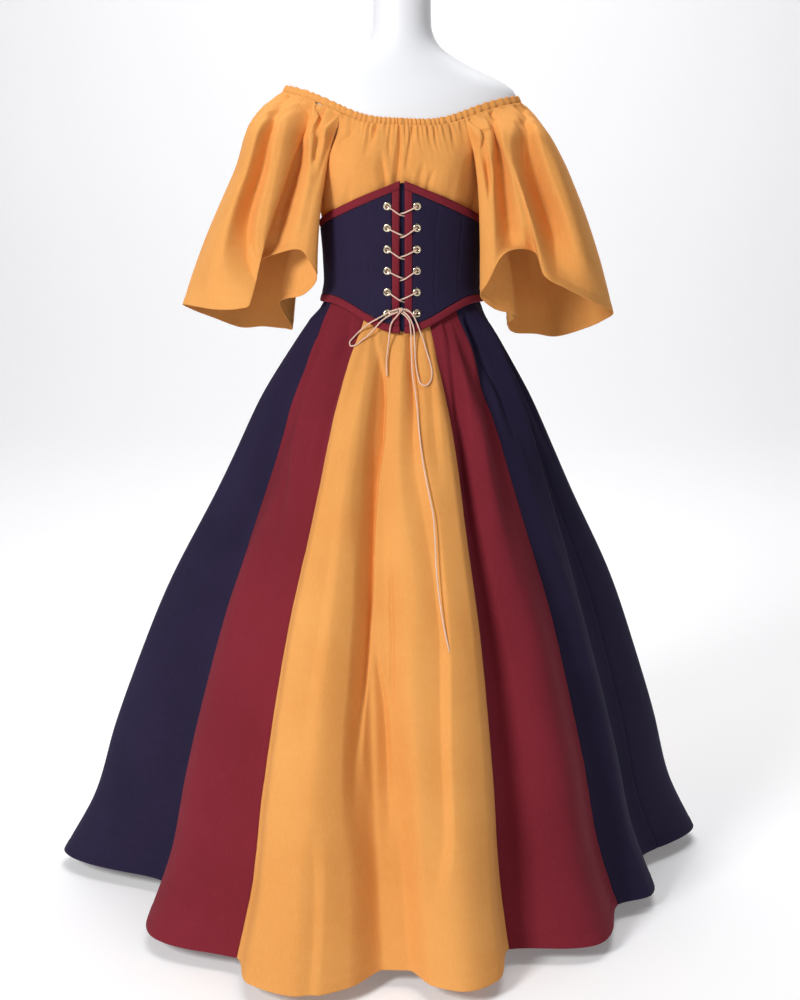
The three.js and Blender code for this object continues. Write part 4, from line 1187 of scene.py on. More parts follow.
@dataclass
class Skirt:
    """Ten gores that hang from the waist in large folds, with gathers under the corset."""

    lift: float = 0.0034
    release_below: float = 0.010
    gathers: int = 20
    pressed_depth: float = 0.0013
    free_depth: float = 0.0045
    gather_end: float = 0.3
    travel: float = 0.7
    thickness: float = 0.0010
    bulge: float = 0.0045
    least_lift: float = 0.0014
    hem: float = 0.016
    hem_double: float = 0.0007
    hem_drawn: float = -0.0005
    hem_reach: float = 0.0016
    seam_dip: float = -0.0016
    seam_reach: float = 0.0024
    pucker: Ripple = Ripple(0.0006, 55, 1, 6.0)
    pucker_reach: float = 0.010
    broad: Ripple = Ripple(0.0022, 14, 2.2, 1.0)
    fine: Ripple = Ripple(0.0007, 46, 7.0, 2.0)
    tight: Ripple = Ripple(0.0007, 90, 25.0, 4.0)
    rows: int = 112
    flare: SmoothCurve = field(default_factory=lambda: SmoothCurve([
        (0, 0), (0.03, 0.03), (0.063, 0.078), (0.1, 0.13), (0.187, 0.246), (0.347, 0.412), (0.5, 0.58),
        (0.6, 0.668), (0.764, 0.795), (0.886, 0.872), (1, 1)]))
    folds: tuple[Fold, ...] = (
        Fold(-171, -171, 0.555), Fold(-156, -156, 0.470), Fold(-141, -142, 0.560), Fold(-126, -127, 0.480),
        Fold(-108, -111, 0.548), Fold(-100, -102, 0.520), Fold(-86, -90, 0.596), Fold(-72, -69, 0.428),
        Fold(-52, -46, 0.530), Fold(-36, -30, 0.500), Fold(-31.5, -23.5, 0.562), Fold(-25, -15.5, 0.577),
        Fold(-21, -8.5, 0.536), Fold(-18.5, -3.2, 0.472), Fold(-15, 1.2, 0.474), Fold(-3, 5, 0.526),
        Fold(8, 10, 0.548), Fold(22, 15.5, 0.524), Fold(31, 22, 0.436), Fold(38, 38, 0.490),
        Fold(51, 55.5, 0.426),
        Fold(60, 64, 0.458), Fold(77, 83, 0.418), Fold(97, 103, 0.548), Fold(118, 122, 0.462),
        Fold(136, 138, 0.556), Fold(153, 153, 0.474), Fold(172, 172, 0.550), Fold(180.5, 180.5, 0.500),
    )
    gores: tuple[Gore, ...] = (
        Gore("front", Slot.MUSTARD, -36, 27, -30, 22, 200, Cut(0.60, 1.06, 0.42)),
        Gore("front_right", Slot.BURGUNDY, 27, 51, 22, 55.5, 84, Cut(0.36, 1.05, 0.205)),
        Gore("side_right", Slot.NAVY, 51, 84, 55.5, 90, 66, Cut(0.36, 1.05, 0.215)),
        Gore("side_back_right", Slot.NAVY, 84, 118, 90, 122, 66, Cut(0.36, 1.05, 0.25)),
        Gore("back_right", Slot.BURGUNDY, 118, 153, 122, 153, 66, Cut(0.36, 1.05, 0.25)),
        Gore("back", Slot.MUSTARD, 153, 204, 153, 204, 110, Cut(0.56, 1.06, 0.40)),
        Gore("back_left", Slot.BURGUNDY, 204, 234, 204, 233, 62, Cut(0.36, 1.05, 0.24)),
        Gore("side_back_left", Slot.NAVY, 234, 260, 233, 258, 60, Cut(0.32, 1.05, 0.19)),
        Gore("side_left", Slot.NAVY, 260, 288, 258, 291, 66, Cut(0.40, 1.06, 0.28)),
        Gore("front_left", Slot.BURGUNDY, 288, 324, 291, 330, 100, Cut(0.44, 1.06, 0.27)),
    )
    pleats: tuple[Pleat, ...] = (
        Pleat(((0.962, -27, -24.5, -22, 0.002), (0.934, -26.5, -23.7, -21, 0.004),
               (0.915, -25, -20, -17, 0.008), (0.877, -22.6, -13.7, -11, 0.012),
               (0.839, -20.8, -11.1, -8.4, 0.016), (0.779, -18.5, -9.9, -7.8, 0.019),
               (0.719, -18.6, -11.0, -9.4, 0.020), (0.660, -17.3, -11.0, -9.5, 0.020),
               (0.602, -14.8, -10.3, -9.2, 0.018), (0.544, -13.2, -9.7, -8.6, 0.017),
               (0.489, -12.9, -9.8, -8.7, 0.017), (0.433, -12.7, -9.9, -8.8, 0.018),
               (0.379, -12.7, -10.3, -9.0, 0.018), (0.325, -12.4, -10.5, -8.7, 0.016),
               (0.270, -11.7, -10.0, -7.4, 0.011), (0.212, -10.8, -8.7, -4.8, 0.005),
               (0.166, -10.3, -7.3, -3.7, 0.0))),
        Pleat(((0.960, 4.5, 7.5, 10, 0.002), (0.937, 3.0, 7.2, 9.9, 0.004), (0.900, -0.1, 7.4, 9.6, 0.008),
               (0.840, -2.3, 7.0, 9.4, 0.013), (0.782, -3.0, 5.0, 8.2, 0.013),
               (0.738, -2.1, 5.2, 10.1, 0.012), (0.665, 0.6, 7.6, 12.6, 0.012),
               (0.608, 2.6, 8.9, 12.6, 0.012), (0.553, 3.6, 9.4, 12.3, 0.013),
               (0.497, 2.5, 9.5, 11.9, 0.014), (0.415, 1.8, 8.8, 10.8, 0.016),
               (0.332, 2.8, 8.3, 9.9, 0.015), (0.277, 3.2, 8.3, 9.8, 0.014), (0.222, 3.2, 7.9, 9.7, 0.011),
               (0.164, 3.4, 6.6, 8.5, 0.006), (0.115, 3.6, 4.6, 6.0, 0.0))),
        Pleat(((0.472, -8.5, -7.3, -6.3, 0.0), (0.450, -7.8, -6.5, -5.4, 0.005),
               (0.401, -7.0, -4.8, -3.3, 0.010), (0.344, -6.3, -3.8, -2.4, 0.012),
               (0.286, -5.8, -3.3, -1.9, 0.009), (0.228, -5.3, -2.9, -0.9, 0.004),
               (0.184, -4.9, -2.6, -0.5, 0.0))),
        Pleat(((0.605, -4.6, -3.7, -2.9, 0.0), (0.560, -4.4, -3.4, -2.4, 0.0045),
               (0.490, -3.7, -2.6, -1.8, 0.005), (0.420, -3.4, -2.6, -1.8, 0.003),
               (0.375, -3.3, -2.5, -1.7, 0.0))),
        Pleat(((0.723, -30, -24.3, -20.8, 0.0), (0.609, -25.6, -21.5, -18.4, 0.004),
               (0.499, -24.7, -20.4, -17.2, 0.005), (0.416, -24.7, -20.4, -17.1, 0.004),
               (0.308, -22.2, -19.1, -16.0, 0.0))),
        Pleat(((0.250, -18.2, -16.2, -14.2, 0.0), (0.171, -17.8, -15.3, -13.4, 0.006),
               (0.069, -16.6, -14.1, -12.5, 0.007), (0.025, -16.0, -13.7, -12.1, 0.006))),
        Pleat(((0.940, 17.8, 22.1, 25.1, 0.0), (0.885, 13.3, 18.3, 21.8, 0.004),
               (0.840, 12.0, 16.3, 19.5, 0.006), (0.781, 10.6, 14.6, 17.6, 0.004),
               (0.700, 9.8, 13.9, 16.8, 0.0))),
        Pleat(((0.968, -52.5, -47.5, -44, 0.003), (0.922, -48.5, -40.5, -36.8, 0.009),
               (0.884, -45.5, -37.5, -34.6, 0.011), (0.838, -42.0, -36.3, -33.8, 0.009),
               (0.777, -39.5, -35.9, -33.2, 0.005), (0.690, -38, -35.2, -33, 0.0))),
        Pleat(((0.965, -66, -60, -54, 0.003), (0.936, -67.4, -60, -53.6, 0.006),
               (0.888, -72.6, -62.5, -53, 0.011), (0.834, -75.6, -57.5, -51.5, 0.015),
               (0.772, -76.8, -55.0, -49.2, 0.016), (0.712, -75.2, -50.5, -44.5, 0.015),
               (0.652, -72.0, -47.0, -41.6, 0.012), (0.565, -56.0, -43.2, -38.0, 0.007),
               (0.450, -49, -40.6, -35.5, 0.0))),
        Pleat(((0.975, -71, -66.5, -62, 0.002), (0.926, -82, -71.9, -67.5, 0.007),
               (0.877, -80, -73.0, -67.5, 0.008), (0.810, -78, -73.9, -70, 0.0))),
        Pleat(((0.965, 35, 39.3, 44.7, 0.004), (0.900, 30.6, 35, 39.8, 0.010),
               (0.838, 28.8, 32.8, 35.6, 0.014), (0.777, 26.3, 30.7, 33.2, 0.016),
               (0.716, 24.6, 29.2, 31.9, 0.016), (0.655, 23.5, 28.3, 31.4, 0.014),
               (0.596, 22.8, 27.8, 31.4, 0.012), (0.507, 21.9, 27.4, 31.4, 0.010),
               (0.388, 22.0, 26.8, 31.2, 0.008), (0.240, 22.2, 25.7, 30, 0.006),
               (0.080, 21.3, 24.2, 27.4, 0.0))),
        Pleat(((0.965, 54, 58.5, 64, 0.003), (0.936, 52.5, 57.3, 63.6, 0.007),
               (0.881, 48.5, 54.8, 61.5, 0.011), (0.819, 41, 50.3, 55.6, 0.013),
               (0.757, 37.2, 46.9, 54.8, 0.013), (0.682, 34.8, 43.5, 54.0, 0.011),
               (0.580, 32.2, 39.6, 49.9, 0.005), (0.500, 31.6, 38, 48, 0.0))),
    )
    creases: tuple[Crease, ...] = (
        Crease(((-44, 0.975), (-48, 0.900), (-45, 0.780), (-40, 0.600)), 0.0040, 0.014, 0.010, 0.04, 0.25),
        Crease(((58, 0.980), (60, 0.850), (60, 0.700)), -0.0105, 0.014, 0.007, 0.03, 0.2),
        Crease(((70, 0.985), (71, 0.830), (72, 0.620), (74, 0.45)), 0.0123, 0.016, 0.012, 0.04, 0.25),
        Crease(((90, 0.985), (91, 0.850), (93, 0.650)), -0.0131, 0.012, 0.008, 0.03, 0.22),
        Crease(((104, 0.985), (105, 0.800), (107, 0.560)), -0.0105, 0.020, 0.009, 0.03, 0.3),
        Crease(((126, 0.985), (127, 0.860), (129, 0.690)), -0.0140, 0.008, 0.014, 0.03, 0.2),
        Crease(((139, 0.985), (141, 0.700), (142, 0.480)), 0.0096, 0.012, 0.016, 0.04, 0.3),
        Crease(((160, 0.985), (160, 0.830), (162, 0.610)), -0.0149, 0.017, 0.006, 0.03, 0.2),
        Crease(((171, 0.985), (170, 0.900), (169, 0.800)), -0.0088, 0.005, 0.009, 0.02, 0.1),
        Crease(((181, 0.985), (179, 0.820), (178, 0.540)), -0.0140, 0.006, 0.019, 0.03, 0.3),
        Crease(((191, 0.985), (192, 0.880), (193, 0.760)), -0.0079, 0.010, 0.004, 0.02, 0.12),
        Crease(((196, 0.560), (195, 0.380), (195, 0.160)), -0.0105, 0.018, 0.010, 0.15, 0.1),
        Crease(((211, 0.985), (212, 0.860), (213, 0.700)), -0.0131, 0.013, 0.007, 0.03, 0.2),
        Crease(((223, 0.985), (222, 0.760), (221, 0.560)), 0.0105, 0.012, 0.012, 0.04, 0.25),
        Crease(((241, 0.985), (240, 0.850), (239, 0.650)), -0.0123, 0.008, 0.015, 0.03, 0.2),
        Crease(((252, 0.985), (251, 0.780), (250, 0.520)), -0.0096, 0.012, 0.009, 0.03, 0.3),
        Crease(((268, 0.985), (268, 0.880), (270, 0.720)), -0.0123, 0.011, 0.007, 0.03, 0.2),
        Crease(((279, 0.985), (281, 0.840), (283, 0.600), (284, 0.400)), 0.0105, 0.014, 0.010, 0.03, 0.3),
    )

    def point(self, turn: float, z: float) -> Vector:
        """Returns a point of the skirt's large form, with its creases and its small unevenness."""
        radius = self._radius(turn, z)
        place = wrap(turn)
        detail = sum(crease.offset(place, z, radius) for crease in self.creases)
        detail += sum(pleat.offset(place, z) for pleat in self.pleats)
        free = ease(0.97 - z, 0.0, 0.12)
        arc = math.radians(place) * 0.28
        detail += free * (self.broad.at(arc, z) + self.fine.at(arc, z)) + (1 - free) * self.tight.at(arc, z)
        below = CORSET.bottom(place) - z
        bulge = self.bulge * ease(below, 0.0, 0.028) * (1 - ease(below, 0.09, 0.26))
        detail += bulge * (0.25 + 0.75 * ease(abs(place), 16, 34))
        least = FIGURE.radius(place, z) + self.least_lift if z > FORM_FOOT_Z else 0.0
        return around(turn, max(radius + detail, least), z)

    def clear_of(self, spot: Vector, distance: float) -> Vector:
        """Returns the point, moved out from the axis where it lies in or too near the cloth."""
        turn = facing(spot)
        if spot.z > CORSET.bottom(turn) - self.thickness:
            return spot
        cloth = self.point(turn, spot.z)
        least = math.hypot(cloth.x, cloth.y) + self.thickness / 2 + distance
        return around(turn, max(least, math.hypot(spot.x, spot.y)), spot.z)

    def _radius(self, turn: float, z: float) -> float:
        """Returns the distance of the skirt's large form from the axis."""
        release = CORSET.bottom(turn) + self.release_below
        down = clamp((release - z) / (release - HEM_Z))
        hug = FIGURE.radius(turn, max(z, release)) + self.lift
        depth = mix(self.pressed_depth, self.free_depth, ease(down, 0.02, 0.08))
        depth *= 1 - ease(down, 0.08, self.gather_end)
        gather = depth * wave(turn * self.gathers)
        return mix(hug, self._fold(turn, down), self.flare.at(down)) + gather

    def _fold(self, turn: float, down: float) -> float:
        """Returns the distance from the axis that the folds give at a turn, a share of the way down."""
        travel = down ** self.travel
        places = [mix(fold.waist, fold.hem, travel) for fold in self.folds]
        at = places[0] + (turn - places[0]) % 360.0
        i = bisect_right(places, at) - 1
        following = (i + 1) % len(places)
        end = places[following] + (360.0 if following == 0 else 0.0)
        width = end - places[i]
        share = (at - places[i]) / width
        here, there = self.folds[i].radius, self.folds[following].radius
        leave, arrive = self._slope(places, i) * width, self._slope(places, following) * width
        return hermite(here, there, leave, arrive, share)

    def _slope(self, places: Sequence[float], i: int) -> float:
        """Returns the folds' slope at one of them, level at crests and valleys.

        Args:
            places: The folds' turns.
            i: The fold's number.

        Returns:
            The change of the distance for a degree.
        """
        count = len(places)
        radii = [self.folds[(i + step) % count].radius for step in (-1, 0, 1)]
        before = (radii[1] - radii[0]) / ((places[i] - places[i - 1]) % 360.0)
        after = (radii[2] - radii[1]) / ((places[(i + 1) % count] - places[i]) % 360.0)
        return gentle(before, after)

    def build(self, finishes: Finishes) -> None:
        """Makes the gores."""
        for gore in self.gores:
            surface = self._gore_surface(gore)
            panel = Panel(f"skirt_{gore.name}_cloth", surface, self._columns(gore), self._rows(), gore.cut,
                          self.thickness)
            finishes.sew(panel, gore.slot, f"skirt_{gore.name}")

    def _columns(self, gore: Gore) -> list[float]:
        """Returns the shares across a gore, closer together beside its seams."""
        edge = [0.0, 0.006, 0.013, 0.022, 0.034]
        middle = spaced(gore.columns - 8, 0.046, 0.954)
        return edge + middle + [1 - share for share in reversed(edge)]

    def _rows(self) -> list[float]:
        """Returns the shares down a gore, closer together at the hem."""
        ledge = 1 - self.hem / (WAIST_Z - HEM_Z)
        body = spaced(self.rows, 0.0, ledge - 0.003)
        return body + [ledge - 0.0012, ledge + 0.0004, ledge + 0.003, ledge + 0.008, 0.9985, 1.0]

    def _gore_surface(self, gore: Gore) -> Surface:
        """Returns a gore's surface, with its seams drawn in and its hem folded thicker."""
        def surface(across: float, down: float) -> Vector:
            travel = down ** self.travel
            start = mix(gore.start, gore.hem_start, travel)
            end = mix(gore.end, gore.hem_end, travel)
            z = mix(WAIST_Z - SEAM_GAP, HEM_Z, down)
            turn = mix(start, end, across)
            spot = self.point(turn, z)
            radius = math.hypot(spot.x, spot.y)
            wide = math.radians(end - start) * radius
            near = min(across, 1 - across) * wide
            dip = self.seam_dip * swell(near, self.seam_reach)
            pucker = swell(near, self.pucker_reach) * self.pucker.at(z, turn)
            hem = self.hem_double * ease(HEM_Z + self.hem - z, -0.0004, 0.0004)
            drawn = self.hem_drawn * swell(z - HEM_Z - self.hem, self.hem_reach)
            return around(turn, radius + dip + pucker + hem + drawn, z)
        return surface


SKIRT = Skirt()


@dataclass
class Blouse:
    """The bodice and the gathered neckline, above the corset."""

    front_z: float = 1.280
    side_z: float = 1.328
    back_z: float = 1.298
    power: float = 4.5
    casing: float = 0.012
    casing_inner: float = 0.0010
    casing_outer: float = 0.0044
    casing_top_outer: float = 0.0036
    casing_gathers: int = 88
    casing_depth: float = 0.0015
    casing_columns: int = 1100
    casing_round: int = 14
    casing_weave: Pair = (1.9, 0.03)
    seam: float = 0.0008
    tuck: float = 0.0016
    top_turn: float = 50.0
    armpit_turn: float = 90.0
    armpit_z: float = 1.170
    raglan_power: float = 2.2
    clearance: float = 0.0002
    overlap: float = 0.0007
    waist_lift: float = 0.0032
    bust_lift: float = 0.0056
    gathers: int = 22
    gather_depth: float = 0.0007
    gather_reach: float = 0.060
    broad: Ripple = Ripple(0.0012, 0.11, 16, 41.0)
    fine: Ripple = Ripple(0.0004, 0.4, 60, 43.0)
    thickness: float = 0.0009
    pleats: tuple[Pleat, ...] = (
        Pleat(((1.272, -3.8, -1.1, 1.7, 0.001), (1.255, -5.4, -0.6, 1.6, 0.0045),
               (1.230, -6.7, -1.8, 1.1, 0.006), (1.207, -8, -3, 0.4, 0.007), (1.183, -9, -4.2, -0.5, 0.006),
               (1.165, -9.2, -4.3, -0.9, 0.0))),
        Pleat(((1.275, -24.4, -19.9, -16.4, 0.0015), (1.253, -28.9, -24.4, -20.8, 0.004),
               (1.238, -30.1, -25.8, -22.5, 0.0035), (1.218, -30, -26.4, -23.4, 0.0))),
        Pleat(((1.275, -39.2, -34.5, -31.2, 0.0015), (1.252, -45.5, -41.5, -37.8, 0.0035),
               (1.240, -50.3, -46.1, -42.3, 0.0035), (1.215, -49.6, -44.9, -40.5, 0.0))),
        Pleat(((1.280, -51.5, -48.2, -45.7, 0.002), (1.255, -56.5, -51.5, -47.9, 0.006),
               (1.240, -60.6, -54.6, -50.3, 0.007), (1.220, -64.5, -57.9, -53.7, 0.005),
               (1.200, -67.7, -60.3, -55.6, 0.0))),
        Pleat(((1.275, -15.9, -12.7, -9.4, 0.0015), (1.242, -14.2, -11.5, -8.6, 0.003),
               (1.216, -11.9, -9.7, -7.4, 0.0))),
        Pleat(((1.230, -20.5, -16.3, -13.8, 0.0), (1.207, -20.3, -15, -11.8, 0.005),
               (1.191, -20.5, -14.2, -10.3, 0.006), (1.165, -20, -13.5, -9.9, 0.003))),
        Pleat(((1.277, 7, 10.2, 13.2, 0.0015), (1.243, 4.1, 6.7, 9.6, 0.0035),
               (1.210, 1.4, 3.9, 6.2, 0.002), (1.195, 0.6, 3, 5.5, 0.0))),
        Pleat(((1.288, 48.6, 52.7, 55.4, 0.001), (1.267, 51, 55.5, 58, 0.003),
               (1.245, 52.5, 59.7, 62.5, 0.005), (1.230, 49.2, 60.7, 64.1, 0.008),
               (1.213, 43.2, 60.8, 65.8, 0.011), (1.193, 39.8, 61, 67.4, 0.012),
               (1.169, 41, 62, 70.6, 0.012), (1.145, 44, 62, 72.8, 0.010), (1.125, 47, 62, 70, 0.006))),
        Pleat(((1.183, -42.5, -37.6, -33.9, 0.0), (1.160, -50.6, -43.9, -39.6, 0.004),
               (1.135, -57.9, -51.9, -47, 0.003))),
        Pleat(((1.212, 12.3, 16.6, 19.4, 0.0), (1.193, 10.1, 14.6, 18.2, 0.004),
               (1.165, 8.9, 13.5, 18.1, 0.003))),
        Pleat(((1.202, 19.3, 22.8, 25.5, 0.0), (1.182, 17, 21.4, 24.2, 0.004),
               (1.155, 16.4, 21, 24.1, 0.003))),
        Pleat(((1.268, 25.4, 27.7, 29.9, 0.001), (1.247, 24.6, 26.9, 28.9, 0.002),
               (1.228, 23.9, 26.6, 28.6, 0.0))),
        Pleat(((1.280, 38.1, 40.4, 42.5, 0.001), (1.255, 37.9, 40.2, 42.4, 0.003),
               (1.228, 35.6, 37.9, 40.3, 0.0))),
    )
    creases: tuple[Crease, ...] = (
        Crease(((176, 1.285), (177, 1.24), (178, 1.17)), -0.0050, 0.006, 0.004, 0.006, 0.05),
        Crease(((150, 1.285), (152, 1.24), (156, 1.19)), -0.0035, 0.007, 0.005, 0.006, 0.05),
        Crease(((205, 1.285), (203, 1.23), (199, 1.18)), -0.0038, 0.005, 0.007, 0.006, 0.05),
        Crease(((222, 1.28), (215, 1.22), (208, 1.15)), -0.0030, 0.005, 0.006, 0.02, 0.04),
        Crease(((138, 1.28), (145, 1.22), (152, 1.15)), -0.0030, 0.006, 0.005, 0.02, 0.04),
    )

    def neckline_z(self, turn: float) -> float:
        """Returns the height of the neckline's top edge at a turn."""
        sine, cosine = math.sin(math.radians(turn)), math.cos(math.radians(turn))
        middle = self.front_z if cosine >= 0 else self.back_z
        return mix(middle, self.side_z, abs(sine) ** self.power)

    def radius(self, turn: float, z: float) -> float:
        """Returns the distance of the bodice's middle surface from the axis."""
        lift = mix(self.waist_lift, self.bust_lift, ease(z, 1.050, 1.190))
        below = self.neckline_z(turn) - self.casing - z
        strength = max(0.0, 1 - below / self.gather_reach)
        gather = self.gather_depth * strength * wave(turn * self.gathers)
        return FIGURE.radius(turn, z) + lift + gather

    def raglan_edge(self, down: float) -> Pair:
        """Returns the turn and height of the raglan seam, a share of the way down the bodice."""
        top_z = self.neckline_z(self.top_turn) - self.casing - self.seam
        z = mix(top_z, WAIST_Z, down)
        share = clamp((top_z - z) / (top_z - self.armpit_z))
        return mix(self.top_turn, self.armpit_turn, share ** self.raglan_power), z

    def gather_phase(self, turn: float) -> float:
        """Returns the place in the casing's small gathers, in degrees, with their uneven spacing."""
        return turn * self.casing_gathers + 190 * flutter(turn * 0.13, 0.0, 51.0)

    def ruffle(self, turn: float, below: float, reach: float, depth: float) -> float:
        """Returns the uneven gathers that hang from the casing.

        Args:
            turn: The place's turn.
            below: Its distance under the casing.
            reach: How far down the larger gathers reach.
            depth: How far the larger gathers stand out.

        Returns:
            The move out from the body.
        """
        low = max(0.0, below)
        small = 0.0011 * swell(low, 0.017, 1.5) * wave(self.gather_phase(turn))
        length = reach * (1.0 + 0.9 * flutter(turn * 0.17, 0.0, 31.0))
        size = 0.85 + 0.9 * flutter(turn * 0.29, 0.0, 35.0)
        phase = turn * 57 + 230 * flutter(turn * 0.11, low * 4, 33.0)
        fall = swell(low, max(0.012, length), 1.6) * ease(low, -0.002, 0.010)
        return small + depth * size * fall * wave(phase)

    def _surface(self, middle: float) -> Surface:
        """Returns the front or back panel's surface, whose middle stands at the given turn."""
        def surface(across: float, down: float) -> Vector:
            side = 2 * across - 1
            edge_turn, edge_z = self.raglan_edge(down)
            trim = math.degrees(SEAM_GAP / 2 / self.radius(edge_turn, edge_z))
            turn = middle + side * (edge_turn - trim)
            top = self.neckline_z(turn) - self.casing + self.tuck
            z = mix(top, WAIST_Z, down)
            radius = self.radius(turn, z)
            detail = sum(crease.offset(wrap(turn), z, radius) for crease in self.creases)
            detail += sum(pleat.offset(wrap(turn), z) for pleat in self.pleats)
            above = ease(z, 1.10, 1.16)
            clear = ease(z - CORSET.top(turn), 0.001, 0.018)
            detail += 0.0022 * clear * (1 - ease(abs(wrap(turn)), 64, 80))
            detail += above * (self.broad.at(turn, z) + self.fine.at(turn, z))
            detail = max(detail + self.ruffle(turn, top - z, 0.026, 0.0017), -0.0044)
            return FIGURE.lean(around(turn, radius + detail, z))
        return surface

    def build(self, finishes: Finishes) -> None:
        """Makes the two bodice panels and the casing."""
        rows = spaced(58, 0.0, 0.6) + spaced(8, 0.64, 1.0)
        for middle, word in ((0.0, "front"), (180.0, "back")):
            panel = Panel(f"bodice_{word}_cloth", self._surface(middle), spaced(220), rows,
                          Cut(0.56, 0.31, 0.115), self.thickness)
            finishes.sew(panel, Slot.MUSTARD, f"bodice_{word}")
        self._casing(finishes)

    def _casing(self, finishes: Finishes) -> None:
        """Makes the gathered band, a soft closed tube with an uneven upper edge.

        Args:
            finishes: The finishes to dress it in.
        """
        def surface(across: float, down: float) -> Vector:
            turn = across * 360.0
            angle = down * 2 * math.pi
            rise = 0.5 + 0.5 * math.cos(angle)
            gather = wave(self.gather_phase(turn))
            top = self.neckline_z(turn)
            z = top - self.casing * (1 - rise) + 0.0009 * rise * gather
            outer = mix(self.casing_outer, self.casing_top_outer, rise)
            thick = (outer - self.casing_inner) / 2
            middle = (outer + self.casing_inner) / 2
            bulge = math.sin(angle)
            face = thick * math.copysign(abs(bulge) ** 0.6, bulge)
            pinch = 1.0 if bulge > 0 else 0.0
            crimp = pinch * self.casing_depth * gather * (0.7 + 0.5 * flutter(turn * 0.9, rise * 2, 52.0))
            waist = -0.0007 * pinch * swell(rise - 0.78, 0.10)
            radius = FIGURE.radius(turn, z) + middle + face + crimp + waist
            return FIGURE.lean(around(turn, radius, z))

        band = Panel("neckline_casing_cloth", surface, spaced(self.casing_columns), spaced(self.casing_round),
                     Cut(0.94, 0.015), 0.0, weave=self.casing_weave)
        finishes.sew(band, Slot.MUSTARD, "neckline_casing")


BLOUSE = Blouse()


@dataclass(frozen=True)
class SleeveFold:
    """A fold of a sleeve, from a place on its upper edge to a place on its hem.

    It reaches a distance towards the front corner (near) and one towards the shoulder (far), in places.
    """

    start: float
    end: float
    depth: float
    near: float
    far: float
    rise: float = 0.12
    fade: float = 0.74


